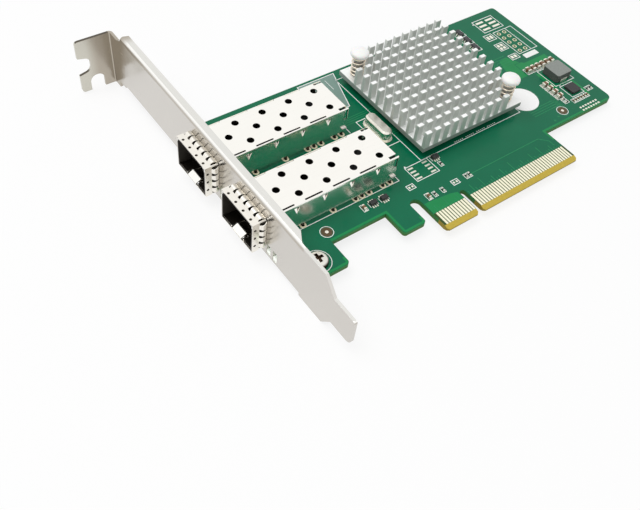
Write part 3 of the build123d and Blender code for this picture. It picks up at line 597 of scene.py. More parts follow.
def solder(colours):
    """Reflowed tin, bright and slightly rippled, made once and used again."""
    name = "reflowed_tin"
    made = bpy.data.materials.get(name)
    return made or mottled(name, colours.tin, 0.1, 0.3, 0.14, 900.0, 3.0, {"Metallic": 0.75}, 0.15)


def off_port(y):
    """Distance of a surface point from the middle of its port."""
    return abs(abs(y - PORTS_MIDDLE) - abs(PORTS[1] - PORTS_MIDDLE))


class CardStep:
    """Runs one step with the card's sizes and colours."""

    def execute(self, context):
        self.build(context.scene.card_sizes, context.scene.card_colours)
        return {"FINISHED"}


class CARD_OT_dress_board(CardStep, bpy.types.Operator):
    """Gives the board its green mask, with bare laminate on the cut edges and the bevelled tongue"""

    bl_idname = "card.dress_board"
    bl_label = "Dress board"

    def build(self, sizes, colours):
        finish = Finish("board_mask", MASK_GLOSS)
        x, y, z = finish.axes()
        up = abs(finish.facing())
        face = up > 0.97
        bevel = (up > 0.5) * (up < 0.97)
        weave = finish.grain(900.0, 2600.0, 900.0, detail=2.0)
        patches = finish.noise(70.0, 2.0)
        layers = finish.node("ShaderNodeTexWave", {"bands_direction": "Z"}, {
            "Vector": finish.place(), "Scale": 620.0, "Distortion": 1.2, "Detail": 2.0, "Detail Scale": 2.0,
        }, output="Fac")
        edge = finish.mix(layers * 0.6 + weave * 0.4, scaled(colours.laminate, 0.55), colours.laminate)
        edge = finish.mix(finish.ease(z, -1.3, -0.3) * 0.6, edge, colours.copper_mask)
        tongue_front = finish.shade(scaled(colours.tongue, 0.55), weave, 0.15)
        green = finish.shade(colours.mask, patches * 0.75 + weave * 0.25, 0.2)
        between_contacts = (y < 6.25) * (x > -12.8) * (x < 39.8)
        bare = finish.shade(scaled(colours.laminate, 0.4), weave, 0.2)
        cut = finish.mix(y < 4.0, edge, tongue_front)
        tone = finish.mix(face, cut, finish.mix(between_contacts, green, bare))
        tone = finish.mix(bevel, tone, finish.shade(colours.tongue, weave, 0.15))
        finish.paint(tone, 0.62 - 0.4 * face + (patches - 0.5) * 0.08, weave, 0.06, 0.02)
        dress(finish.material, "circuit_board")


class CARD_OT_lay_copper(CardStep, bpy.types.Operator):
    """Lays traces, vias and copper areas under the mask"""

    bl_idname = "card.lay_copper"
    bl_label = "Lay copper"

    def build(self, sizes, colours):
        width, high = sizes.trace_width / MM, sizes.trace_height / MM
        paths = [((7.2, 12.2), (35.0, 12.2), (37.4, 9.8), (37.4, 7.0))]
        for k, x in enumerate(FINGERS):
            rise = 8.6 + 0.7 * (k % 3) if k % 4 == 1 else 7.0 + 0.3 * (k % 3)
            paths.append(((x, 6.3), (x, rise)))
        for y, target in ((PORTS[1], 46.5), (PORTS[2], 36.5)):
            for k in range(4):
                start, end = y - 3.0 + 2.0 * k, target + 0.8 * k
                bend = -12.4 + abs(end - start) * 0.5
                paths.append(((-14.0, start), (-12.4, start), (bend, end), (5.6, end)))
        for y in (40.0 + 1.1 * k for k in range(5)):
            paths.append(((41.0, y), (47.0, y), (49.4, y + 2.4), (54.6, y + 2.4)))
        for y in (22.4 - 0.9 * k for k in range(4)):
            paths.append(((41.5, y), (52.0, y), (53.5, y - 1.5)))
        vias = [(-38.0 + 2.6 * k, 40.1 - 0.9 * (k % 2)) for k in range(9)]
        vias += [(41.2, 52.0 - 1.6 * k) for k in range(7)]
        vias += [(60.2 + 1.1 * k, 26.6) for k in range(4)]
        vias += [(46.0 + 2.4 * k, 15.2 + 0.8 * (k % 2)) for k in range(3)]
        copper = Stock()
        for path in paths:
            copper.ribbon(path, width, high)
        for place in vias:
            copper.washer(place, 0.12, 0.36, high * 1.3, 14)
        copper.piece("board_traces", "solder_mask", copper_mask("mask_over_traces", colours.trace_mask))

        broad = Stock()
        for outline in COPPER_AREAS:
            broad.plate(outline, high * 0.6)
        for path in BORDERS:
            broad.ribbon(path, sizes.border_width / MM, high * 0.6)
        broad.piece("copper_areas", "solder_mask", copper_mask("mask_over_copper", colours.copper_mask))


class CARD_OT_print_board(CardStep, bpy.types.Operator):
    """Prints the white outlines and the plain grey field on the board"""

    bl_idname = "card.print_board"
    bl_label = "Print board"

    def build(self, sizes, colours):
        line, high = sizes.print_line / MM, sizes.print_height / MM
        thin = line * 0.7
        ink = Stock()
        for corners in PRINT_FRAMES:
            ink.ribbon(frame_points(*corners), line, high, True)
        for path in PRINT_LINES:
            ink.ribbon(path, line, high)
        for (x, y), size, upright in CHIPS:
            along, across = size[0] / 2 + 0.42, size[1] / 2 + 0.3
            half_x, half_y = (across, along) if upright else (along, across)
            ink.ribbon(frame_points(x - half_x, y - half_y, x + half_x, y + half_y), thin, high, True)
        for x, y in SWITCHES:
            for side in (x - 1.35, x + 1.35):
                ink.ribbon(((side, y - 0.9), (side, y + 0.9)), thin, high)
        plates = [frame_points(60.8, 42.0, 66.8, 44.1), round_points((60.0, 26.2), 0.25, 16)]
        plates += [((-8.3, 23.9), (-7.5, 23.9), (-7.9, 24.5)), ((57.1, 65.0), (57.1, 64.2), (57.6, 64.6))]
        ticks = [11.0 + 0.75 * k for k in range(25) if k % 6]
        plates += [frame_points(x, SINK_LOW.y - 0.05, x + 0.4, SINK_LOW.y + 0.2) for x in ticks]
        for outline in plates:
            ink.plate(outline, high)
        for middle in SCREWS:
            ink.washer(middle, 3.55, 3.75, high, 48)
        for middle in AIMING_MARKS:
            ink.washer(middle, 1.75, 1.95, high, 40)
        white = print_ink("white_ink", colours.ink)
        ink.piece("board_print", "solder_mask", white)

        field, border = Stock(), Stock()
        field.plate(GREY_FIELD, high * 0.6)
        border.ribbon(GREY_FIELD, line * 1.1, high, True)
        for x in (-12.8 + 1.9 * k for k in range(5)):
            border.ribbon(((x, 61.6), (x, 66.4)), line * 0.6, high * 0.9)
        field.piece("grey_field", "solder_mask", print_ink("grey_ink", colours.grey_ink))
        border.piece("grey_field_border", "solder_mask", white)


class CARD_OT_tin_pads(CardStep, bpy.types.Operator):
    """Adds bare pads, hole rings, aiming dots and solder on the far side"""

    bl_idname = "card.tin_pads"
    bl_label = "Tin pads"

    def build(self, sizes, colours):
        high, low = sizes.pad_height / MM, BOARD_LOW.z
        tin = solder(colours)
        bare_pads = [(x0, y - 0.3, x1, y + 0.3) for y in (22.8, 21.4, 20.1, 18.7)
                     for x0, x1 in ((-7.9, -6.0), (-2.5, -0.7))]
        bare_pads += [(x, y - 0.45, x + 3.2, y + 0.45) for y in (64.4, 62.5, 60.6) for x in (58.5, 62.9)]
        bare_pads += [(x, y0, x + 1.0, y1) for x in (56.3, 57.7)
                      for y0, y1 in ((55.6, 57.3), (50.9, 52.1), (49.4, 50.6), (44.2, 45.5))]
        bare_pads += [(x + side - 0.3, y - 0.35, x + side + 0.3, y + 0.35)
                      for x, y in ((0.9, 12.15), (-11.4, 17.25)) for side in (-0.55, 0.55)]
        bare_pads += [(57.6 + 1.2 * k, y - 0.32, 58.3 + 1.2 * k, y + 0.32)
                      for k in range(7) for y in (15.25, 13.95)]
        bare_pads += [(x + lead - 0.22, y + side - 0.4, x + lead + 0.22, y + side + 0.4)
                      for x, y in SWITCHES for side in (-1.05, 1.05) for lead in (-0.7, 0, 0.7)]
        pads = Stock()
        for x0, y0, x1, y1 in bare_pads:
            pads.block((x0, y0, ROOT), (x1, y1, high), PAD_EDGE)
        for middle in AIMING_MARKS:
            pads.turned(middle, ((0.5, ROOT), (0.5, high), (0.3, high + 0.02)), 24)
        pads.piece("bare_pads", "tinned_metal", tin)

        rings = Stock()
        for place in CAGE_PINS:
            rings.washer(place, 0.46, 0.98, 0.06, 28)
        for place in HEADER:
            rings.washer(place, 0.47, 0.74, 0.06, 28)
            rings.washer(place, 0.47, 0.85, low - 0.06, 28, low + 0.01)
        ring_metal = metal("ring_metal", colours.ring, 0.3, (900.0, 900.0, 900.0), metallic=0.0)
        rings.piece("hole_rings", "tinned_metal", ring_metal)

        bare = Stock()
        for middle in AIMING_MARKS:
            bare.washer(middle, 0.5, 1.6, 0.012, 36)
        bare.piece("aiming_rings", "solder_mask", moulded("bare_laminate", colours.bare, 0.5))

        cones = Stock()
        cone = ((0.9, 0.02), (0.86, -0.06), (0.55, -0.2), (0.36, -0.5), (0.3, -0.62))
        for place in CAGE_PINS + CRYSTAL_LEGS:
            cones.turned(place, [(radius, low + z) for radius, z in cone], 18)
        cones.piece("underside_solder", "tinned_metal", tin)


class CARD_OT_dress_contacts(CardStep, bpy.types.Operator):
    """Gives the edge contacts their worn gold"""

    bl_idname = "card.dress_contacts"
    bl_label = "Dress contacts"

    def build(self, sizes, colours):
        finish = Finish("contact_gold", METAL)
        y = finish.axes()[1]
        scuffs = finish.grain(9000.0, 300.0, 900.0)
        wear_and_shade = finish.ease(y, 1.6, 3.0) * finish.ease(5.2 - y, 0.0, 1.2)
        tone = finish.shade(colours.gold, scuffs, 0.1)
        finish.paint(tone, 0.22 + scuffs * 0.14 + wear_and_shade * 0.06, scuffs, 0.2, 0.01)
        dress(finish.material, "edge_contacts_front", "edge_contacts_back")


class CARD_OT_dress_bracket(CardStep, bpy.types.Operator):
    """Gives the bracket its plated steel, with painted highlights on its bends and flat tops, and painted
    shade at the foot of its bends, under it and beside its fold
    """

    bl_idname = "card.dress_bracket"
    bl_label = "Dress bracket"

    def build(self, sizes, colours):
        # Painted light: a highlight on the bends, a lighter flat top, and shade under faces that look
        # downwards
        bend_highlight, lit_flat_top, underside_shade = screen(252, 251, 247), screen(226, 225, 220), screen(128, 122, 112)
        tab_end, tab_top_shade = screen(206, 203, 192), screen(96, 90, 80)
        finish = Finish("bracket_plating", METAL)
        grain = finish.grain(2600.0, 240.0, 2600.0, detail=4.0)
        cloud = finish.noise(55.0, 3.0)
        x, y, z = finish.axes()
        up = finish.facing()
        # Painted shade on the slanting faces at the foot of each bend
        crease = finish.ease(up, 0.06, 0.3) * (1 - finish.ease(up, 0.4, 0.65))
        steel = finish.shade(colours.bracket, cloud * 0.5 + grain * 0.5, 0.06)
        steel = finish.mix(finish.ease(up, 0.55, 0.8), steel, bend_highlight)
        steel = finish.mix(finish.ease(up, 0.93, 0.995), steel, lit_flat_top)
        steel = finish.mix(crease * 0.7, steel, colours.fold_shaded)
        steel = finish.mix(finish.ease(0 - up, 0.2, 0.6), steel, underside_shade)
        # Painted shade on the tab and the neck beside the fold, fading out towards the tab's end, and dark
        # painted shade on the tab's upward-slanting faces
        fold_shaded = x < -57.5
        neck_shade = finish.ease(y + z * 0.25, 97.2, 101.5) * (1 - fold_shaded)
        fold_shade_tone = finish.shade(colours.fold_shaded, cloud, 0.05)
        fold_shade_tone = finish.mix(fold_shaded * finish.ease(-61.2 - x, 0.0, 4.6), fold_shade_tone, tab_end)
        fold_shade_tone = finish.mix(fold_shaded * finish.ease(up, 0.5, 0.9), fold_shade_tone, tab_top_shade)
        tone = finish.mix(neck_shade.larger(fold_shaded), steel, fold_shade_tone)
        finish.paint(tone, 0.24 + (grain - 0.5) * 0.14 + (cloud - 0.5) * 0.12, grain, 0.22, 0.012)
        dress(finish.material, "bracket")
        break_edges(sizes.sheet_round, 2, "bracket")


class CARD_OT_turn_screws(CardStep, bpy.types.Operator):
    """Turns the two bracket screws, with domed heads and a cross recess"""

    bl_idname = "card.turn_screws"
    bl_label = "Turn screws"

    def build(self, sizes, colours):
        screws = Stock()
        sides, wide, narrow = 40, 1.5, 0.46
        head, rim_height, dome = 2.8, 0.75, 1.03
        arm = ((narrow, wide), (-narrow, wide), (-narrow, narrow))
        cross = list(arm)
        for _ in range(3):
            arm = [(-y, x) for x, y in arm]
            cross += arm
        rim = round_points((0, 0), head - 0.02, sides)
        steps = [round_points((0, 0), radius, sides) for radius in (2.6, 2.3, 1.9)]
        creases = [(ring[k], ring[(k + 1) % sides]) for ring in steps for k in range(sides)]
        for x, y in SCREWS:
            def domed(u, v, depth, x=x, y=y):
                height = rim_height + dome * math.sqrt(max(0.0, 1 - (math.hypot(u, v) / head) ** 2))
                return x + u, y + v, 0.0 if depth else height

            screws.pressed(rim, [cross], creases, domed, 1.0)
            screws.turned((x, y), ((1.3, -3.55), (1.44, -3.3), (1.44, 0.9)), 28)
        finish = Finish("screw_plating", METAL)
        scuffs = finish.noise(500.0, 3.0)
        recess_shade = screen(66, 52, 42)
        # Painted shade in the cross recess and round the head's lower edge
        deep_shade = finish.ease(1.4 - finish.axes()[2], 0.0, 0.4)
        tone = finish.mix(deep_shade, finish.shade(colours.screw, scuffs, 0.12), recess_shade)
        finish.paint(tone, 0.16 + scuffs * 0.14, scuffs, 0.2, 0.01)
        screws.piece("bracket_screws_turned", "screw_steel", finish.material, stands_for=("bracket_screws",))


class CARD_OT_press_cages(CardStep, bpy.types.Operator):
    """Presses the cage covers from flat patterns, with vents, seam slots and lanced tabs"""

    bl_idname = "card.press_cages"
    bl_label = "Press cages"

    def plating(self, sheet, bend, half, colours):
        """Bright nickel, with painted shade near the collar, on the cut edges at the open rear corners and,
        at half strength, on parts standing out from the walls.
        """
        rear, top = CAGE_HIGH.x, CAGE_HIGH.z
        finish = Finish("cage_nickel", METAL)
        streaks = finish.grain(90.0, 1600.0, 1600.0)
        cloud = finish.noise(90.0, 2.0)
        x, y, z = finish.axes()
        off = off_port(y)
        corner = (off > half - 1.1) * (z > top - 1.1)
        collared = (x < -57.3) * (1 - corner)
        wall = off > half - 0.05
        cut = (off > half - sheet + 0.02) * (off < half - 0.02) * (z < top - bend)
        lip = off > half + 0.05
        shaded = collared.larger(cut * (x > rear - 1.6) + lip * 0.45)
        bright = finish.shade(colours.nickel, streaks * 0.5 + cloud * 0.5, 0.03)
        roughness = 0.13 + (streaks - 0.5) * 0.06 + (cloud - 0.5) * 0.08 + collared * 0.2 + wall * 0.1
        return finish.paint(finish.mix(shaded, bright, colours.cage_inside_shade), roughness, streaks, 0.1, 0.006)

    def build(self, sizes, colours):
        sheet, bend, vent = sizes.cage_sheet / MM, sizes.bend_radius / MM, sizes.vent_diameter / MM / 2
        front, rear, top, foot = CAGE_LOW.x, CAGE_HIGH.x, CAGE_HIGH.z, CAGE_LOW.z
        half = (CAGE_HIGH.y - CAGE_LOW.y) / 2
        arc = math.pi * bend / 2
        flat = half - bend
        side_start = flat + arc
        reach = side_start + top - bend - foot
        cheek, mouth = reach + foot, front + 4.0
        slit, gap, notch = half - sheet, 0.85, rear - 3.0
        pitch, row_offset = 8.86, 3.89
        seams, lances = ([start - pitch * k for k in range(4)] for start in (rear - 10.5, rear - 7.0))
        bends = [arc * k / 4 for k in range(5)]
        nickel = self.plating(sheet, bend, half, colours)
        # Painted shade on the inner faces of the covers and lances
        painted_shade = metal("cage_inside_shade", colours.cage_inside_shade, 0.4, (90.0, 1600.0, 1600.0), metallic=0.3)

        # The walls reach down to the board at the mouth, and the rear corners are slit open
        outline = [(front, -cheek), (mouth, -cheek), (mouth, -reach), (rear, -reach), (rear, -slit),
                   (notch, -slit), (notch, gap - slit), (rear - bend, gap - slit)]
        outline += [(x, -v) for x, v in reversed(outline)]
        holes = []
        for row, shift in ((-row_offset, 0), (0, pitch / 2), (row_offset, 0)):
            holes += [round_points((rear - 4.5 - shift - pitch * k, row), vent, 28) for k in range(4)]
        creases = []
        for side in (-1, 1):
            holes += [slot_points(x - 2.8, x + 2.8, side * (slit - 0.18), 0.24) for x in seams]
            brow, tip = side * (side_start + 0.7), side * (side_start + 3.1)
            holes += [[(x - 1.0, brow), (x + 1.0, brow), (x, tip)] for x in lances]
            holes.append(frame_points(rear - 1.5, side * side_start, rear - 0.25, side * (side_start + 3.4)))
            creases += [((front, side * (flat + run)), (rear, side * (flat + run))) for run in bends]
        wide, drop = slit - gap - 0.02, arc + top - bend - 2.0
        rear_wall = frame_points(0, -wide, drop, wide)
        rear_creases = [((run, -wide), (run, wide)) for run in bends[1:]]

        def rounded(run, depth):
            """Way out and height of a point on a bend and the wall below it."""
            inner = bend - depth
            if run <= arc:
                return inner * math.sin(run / bend), top - bend + inner * math.cos(run / bend)
            return inner, top - bend - (run - arc)

        for number, middle in PORTS.items():
            def folded(x, v, depth, middle=middle):
                if abs(v) <= flat:
                    return x, middle + v, top - depth
                out, z = rounded(abs(v) - flat, depth)
                return x, middle + math.copysign(flat + out, v), z

            def flap(run, y, depth, middle=middle):
                out, z = rounded(run, depth)
                return rear - bend + out, middle + y, z

            cover = Stock()
            cover.pressed(outline, holes, creases, folded, sheet, 1)
            cover.pressed(rear_wall, [], rear_creases, flap, sheet, 1)
            for side in (-1, 1):
                wall = middle + side * half
                for x in lances:
                    rings = []
                    for spread, down, sink in ((0.92, 0.75, 1.0), (0.1, 2.95, 0.02)):
                        z, near, far = top - bend - down, wall - side * sink, wall - side * (sink + 0.12)
                        corners = frame_points(x - spread, near, x + spread, far)
                        rings.append([(*corner, z) for corner in corners])
                    # One face of each lance takes the painted shade
                    cover.loft(rings, finishes=(0, 0, 1, 0))
                low, high = sorted((wall - side * 0.1, wall + side * 0.6))
                cover.block((rear - 1.8, low, 2.7), (rear - 0.2, high, 2.95), 0.05)
            shell = f"cage_shell_{number}"
            cover.piece(f"cage_cover_{number}", "cage_nickel", nickel, painted_shade, stands_for=(shell,))


class CARD_OT_dress_cage_floors(CardStep, bpy.types.Operator):
    """Gives the cage floors, latch tongues and press-fit tails their metal, with painted shade inside the
    cages and on the tails above the board's underside
    """

    bl_idname = "card.dress_cage_floors"
    bl_label = "Dress cage floors"

    def build(self, sizes, colours):
        tray = Finish("cage_tray", METAL)
        x, y, _ = tray.axes()
        off = off_port(y)
        # Painted shade over the tray inside the cage; the latch tongue at the mouth and the outer strips stay
        # bright
        latch = (1 - tray.ease(x, -60.1, -59.2)) * (off < 3.0)
        deep_shade = 1 - latch.larger((off > 6.5) * (x > -56.5))
        grain = tray.grain(90.0, 1600.0, 1600.0)
        tray.paint(tray.mix(deep_shade, tray.shade(colours.nickel, grain, 0.04), colours.cage_inside_shade),
                   0.16 + grain * 0.08 + deep_shade * 0.15)
        dress(tray.material, "cage_base_1", "cage_base_2")
        tails = Finish("cage_tails", METAL)
        grain = tails.noise(900.0, 2.0)
        # Painted shade on the tails above the board's underside; tinned below it
        below = tails.ease(-1.2 - tails.axes()[2], 0.0, 0.4)
        painted_shade, tinned = tails.shade(colours.cage_inside_shade, grain, 0.2), tails.shade(colours.tin, grain, 0.08)
        tails.paint(tails.mix(below, painted_shade, tinned), 0.45 - below * 0.2 + grain * 0.1)
        dress(tails.material, "cage_pins")


class CARD_OT_press_collars(CardStep, bpy.types.Operator):
    """Presses the spring collars, with dimpled lips and bowed fingers"""

    bl_idname = "card.press_collars"
    bl_label = "Press collars"

    def build(self, sizes, colours):
        sheet = sizes.collar_sheet / MM
        bow, lip, lap, finger_pitch = 0.7, 2.0, 0.05, 2.3
        # Fingers as share of their length, share of the bow and half width
        crests = ((0.0, 0.0, 0.66), (0.12, 0.5, 0.72), (0.28, 0.88, 0.82), (0.42, 1.0, 0.9),
                  (0.56, 0.98, 0.97), (0.7, 0.8, 1.01), (0.85, 0.45, 1.04), (1.0, 0.1, 1.05))
        steel = metal("collar_plating", colours.collar, 0.2, (1600.0, 200.0, 900.0), 0.15)
        for number in PORTS:
            low, high = span(f"spring_collar_{number}")
            collar = Stock()
            lip_end, finger_end = low.x + lip, high.x + 0.16
            middle = (low + high) / 2
            half_y, half_z = high.y - bow - middle.y, high.z - bow - middle.z
            for upright, sign in ((False, 1), (False, -1), (True, 1), (True, -1)):
                def folded(x, along, depth, upright=upright, sign=sign):
                    if upright:
                        return x, middle.y + sign * (half_y - depth), middle.z + along
                    return x, middle.y + along, middle.z + sign * (half_z - depth)

                half = half_z - sheet if upright else half_y
                fingers, dimples, pitch = (4, 3, 2.9) if upright else (6, 4, 3.4)
                rows = [(k - (dimples - 1) / 2) * pitch for k in range(dimples)]
                holes = [round_points((low.x + 0.75, along), 0.4, 14) for along in rows]
                collar.pressed(frame_points(low.x, -half, lip_end, half), holes, [], folded, sheet)
                for along in ((k - (fingers - 1) / 2) * finger_pitch for k in range(fingers)):
                    rings = []
                    for share, rise, wide in crests:
                        x = lip_end - lap + (finger_end - lip_end + lap) * share
                        corners = frame_points(along - wide, sheet - bow * rise, along + wide, -bow * rise)
                        rings.append([folded(x, *corner) for corner in corners])
                    collar.loft(rings)
            collar.piece(f"collar_{number}", "collar_steel", steel, stands_for=(f"spring_collar_{number}",))


class CARD_OT_dress_heatsink(CardStep, bpy.types.Operator):
    """Gives the heat sink its sawn aluminium, with painted shade on the base's sides and painted highlights
    on the pins' tops and channel floors
    """

    bl_idname = "card.dress_heatsink"
    bl_label = "Dress heat sink"

    def build(self, sizes, colours):
        finish = Finish("heatsink_aluminium", {"Metallic": 0.6})
        up = abs(finish.facing())
        z = finish.axes()[2]
        saw = finish.grain(400.0, 400.0, 6500.0)
        cloud = finish.noise(220.0, 3.0)
        # Painted light: shade on the base's sides, and near-white highlights on the pins' tops and on the
        # channel floors between them
        skirt_shade, top_highlight = screen(120, 126, 122), screen(252, 253, 252)
        tip = (up > 0.9) * (z > 9.0)
        floor = (up > 0.9) * (z < SINK_BASE_TOP + 0.2)
        skirt = (z < SINK_BASE_TOP - 0.2) * (up < 0.5)
        tone = finish.shade(colours.aluminium, saw * 0.5 + cloud * 0.5, 0.1)
        tone = finish.mix(skirt * 0.6, tone, skirt_shade)
        tone = finish.mix(tip * 0.9 + floor * 0.85, tone, top_highlight)
        finish.paint(tone, 0.5 + (saw - 0.5) * 0.2 - tip * 0.08, saw * 0.6 + cloud * 0.4, 0.3, 0.015)
        dress(finish.material, "heatsink")
        break_edges(sizes.fin_round, 1, "heatsink")


class CARD_OT_turn_push_pins(CardStep, bpy.types.Operator):
    """Turns the push pins, with domed caps and split tips"""

    bl_idname = "card.turn_push_pins"
    bl_label = "Turn push pins"

    def build(self, sizes, colours):
        pins = Stock()
        low, high, board = CAPS_LOW.z, CAPS_HIGH.z, BOARD_LOW.z
        shoulder, stem, collar, split = CAP_UNDERSIDE + 0.75, 1.5, 1.8, 0.35
        turns = [math.pi / 2 * k / 9 for k in range(9)]
        dome = [(CAP_RADIUS * math.cos(t), shoulder + (high - shoulder) * math.sin(t)) for t in turns]
        profile = (
            (stem, board), (stem, CAP_UNDERSIDE - 1.1), (collar, CAP_UNDERSIDE - 0.9),
            (collar, CAP_UNDERSIDE), (CAP_RADIUS - 0.2, CAP_UNDERSIDE), (CAP_RADIUS, CAP_UNDERSIDE + 0.2),
            *dome, (0.25, high))
        tip = ((stem, board + 0.01), (1.82, board - 0.08), (1.82, board - 0.35), (1.2, board - 1.6),
               (0.8, low))
        for x, y in PUSH_PINS:
            pins.turned((x, y), profile, 48)
            for side in (-1, 1):
                rings = []
                for radius, z in tip:
                    start = math.acos(split / radius)
                    turns = [start - start * k / 8 for k in range(17)]
                    radius *= side
                    rings.append([(x + radius * math.cos(t), y + radius * math.sin(t), z) for t in turns])
                pins.loft(rings)
        finish = Finish("pin_nylon", {"Subsurface Weight": 0.12, "Subsurface Scale": 0.001, "IOR": 1.5})
        haze = finish.noise(700.0, 3.0)
        stem_shade = screen(120, 116, 104)
        below = finish.ease(CAP_UNDERSIDE - 1.0 - finish.axes()[2], 0.0, 0.4)
        tone = finish.mix(below * 0.75, finish.shade(colours.nylon, haze, 0.04), stem_shade)
        finish.paint(tone, 0.42 + haze * 0.16, haze, 0.12, 0.02)
        pins.piece("push_pins_turned", "pin_nylon", finish.material, stands_for=("push_pins",), smooth=50)


class CARD_OT_wind_springs(CardStep, bpy.types.Operator):
    """Winds the push-pin springs, with closed end turns"""

    bl_idname = "card.wind_springs"
    bl_label = "Wind springs"

    def build(self, sizes, colours):
        wire = sizes.spring_wire / MM / 2
        radius = sizes.spring_diameter / MM / 2 - wire
        bottom, top = SINK_BASE_TOP + wire, CAP_UNDERSIDE - wire
        turns, closed, end_rise, steps, sides = 5.5, 0.75, 0.06, 36, 10
        springs = Stock()
        for x, y in PUSH_PINS:
            path = []
            for k in range(int(turns * steps) + 1):
                done = k / steps
                first = min(done / closed, 1.0)
                rise = min(max((done - closed) / (turns - 2 * closed), 0.0), 1.0)
                last = max(0.0, 1 - (turns - done) / closed)
                share = end_rise * (first + last) + (1 - 2 * end_rise) * rise
                height = bottom + (top - bottom) * share
                angle = math.tau * done
                path.append(Vector((x + radius * math.cos(angle), y + radius * math.sin(angle), height)))
            rings = []
            for k, point in enumerate(path):
                along = (path[min(k + 1, len(path) - 1)] - path[max(k - 1, 0)]).normalized()
                out = Vector((point.x - x, point.y - y, 0)).normalized()
                up = along.cross(out).normalized()
                rings.append([point + out * u + up * v for u, v in round_points((0, 0), wire, sides)])
            springs.loft(rings)
        steel = metal("spring_plating", colours.spring, 0.26, (900.0, 900.0, 900.0))
        springs.piece("spring_coils", "spring_steel", steel, stands_for=("push_pin_springs",), smooth=60)


class CARD_OT_dress_chips(CardStep, bpy.types.Operator):
    """Gives chips, connectors and chip parts their mouldings, ceramics and tin"""

    bl_idname = "card.dress_chips"
    bl_label = "Dress chips"

    def build(self, sizes, colours):
        dress(moulded("dark_moulding", colours.moulding, 0.5), "regulator_chip", "switch_packages",
              "host_connector_1", "host_connector_2", "network_controller")
        dress(moulded("capacitor_ceramic", colours.capacitor, 0.42, 3800.0, 0.006),
              "capacitor_bodies", "rear_capacitor_bodies")
        dress(moulded("resistor_glaze", colours.resistor, 0.3, 3800.0, 0.006), "resistor_bodies")
        dress(moulded("pad_rubber", colours.rubber, 0.7), "thermal_pad")
        paper = mottled("sticker_paper", colours.paper, 0.03, 0.5, 0.15, 2400.0, 4.0, relief=0.15)
        dress(paper, "round_sticker")
        dress(solder(colours), "capacitor_terminals", "rear_capacitor_terminals", "resistor_terminals",
              "switch_leads", "inductor_terminals", "host_contacts_1", "host_contacts_2")
        powder = Finish("inductor_powder")
        speckle = powder.cells(3200.0)
        side = powder.shade(scaled(colours.inductor, 0.3), speckle, 0.3)
        top = powder.shade(colours.inductor, speckle, 0.2)
        tone = powder.mix(abs(powder.facing()) > 0.7, side, top)
        powder.paint(tone, 0.5 + speckle * 0.2, speckle, 0.35, 0.03)
        dress(powder.material, "power_inductor")
        break_edges(sizes.moulding_round, 2, "regulator_chip", "switch_packages", "power_inductor",
                    "capacitor_bodies", "capacitor_terminals", "resistor_terminals", "inductor_terminals")


class CARD_OT_dress_crystal(CardStep, bpy.types.Operator):
    """Gives the crystal its drawn can, with painted shade over the middle of its top that leaves the rim
    bright
    """

    bl_idname = "card.dress_crystal"
    bl_label = "Dress crystal"

    def build(self, sizes, colours):
        can = Finish("crystal_can", METAL)
        low, high = span("crystal")
        middle = (low + high) / 2
        x, y, _ = can.axes()
        flank = (abs(y - middle.y) - 3.2).larger(0.0)
        away = (abs(x - middle.x) ** 2 + flank ** 2) ** 0.5
        drawn = can.grain(700.0, 200.0, 2600.0)
        wear_and_shade = can.shade(scaled(colours.crystal, 0.72), drawn, 0.16)
        # Painted shade over the middle of the can's top; the rim and sides keep the plain colour
        tone = can.mix(can.ease(away, 1.05, 1.35), wear_and_shade, can.shade(colours.crystal, drawn, 0.07))
        can.paint(tone, 0.16 + drawn * 0.12, drawn, 0.25, 0.01)
        dress(can.material, "crystal")


class CARD_OT_fit_lights(CardStep, bpy.types.Operator):
    """Gives the link lights their clear moulding with a faint painted glow, and fits their ends in the
    bracket's holes
    """

    bl_idname = "card.fit_lights"
    bl_label = "Fit lights"

    def build(self, sizes, colours):
        # Painted glow: the lens gives off a faint light of its own
        lens = Finish("light_lens", {
            "IOR": 1.5, "Emission Strength": 0.35, "Emission Color": (0.9, 0.95, 0.88, 1.0)})
        lens.paint(lens.shade(colours.lens, lens.noise(900.0), 0.08), 0.25)
        dress(lens.material, "link_lights")
        fronts = Stock()
        edge, half = BOARD_LOW.x, 0.78
        for y in (port + offset for port in PORTS.values() for offset in LIGHT_OFFSETS):
            fronts.block((edge - 1.15, y - half, -2.4), (edge - 0.01, y + half, -1.15), 0.08)
        fronts.piece("light_fronts", "light_lens", lens.material)


class CARD_OT_solder_chips(CardStep, bpy.types.Operator):
    """Runs solder fillets up to the ends of the chip parts"""

    bl_idname = "card.solder_chips"
    bl_label = "Solder chips"

    def build(self, sizes, colours):
        fillets = Stock()
        joints = [(*chip, 0.0, 1) for chip in CHIPS]
        joints += [(place, SMALL, True, BOARD_LOW.z, -1) for place in COUPLING]
        for place, (long, wide, tall), upright, face, up in joints:
            out, climb = sizes.solder_reach / MM * min(1.0, wide / 0.8), tall * 0.7
            profile = ((-0.1, 0.0), (out, 0.0), (out, 0.04), (out * 0.45, 0.22 * climb), (0.04, climb),
                       (-0.1, climb))
            for end in (-1, 1):
                rings = []
                for side in (-wide / 2, wide / 2):
                    ring = []
                    for run, rise in profile:
                        along = end * (long / 2 + run)
                        x, y = (side, along) if upright else (along, side)
                        ring.append((place[0] + x, place[1] + y, face + up * rise))
                    rings.append(ring)
                fillets.loft(rings)
        fillets.piece("solder_fillets", "tinned_metal", solder(colours), smooth=60)


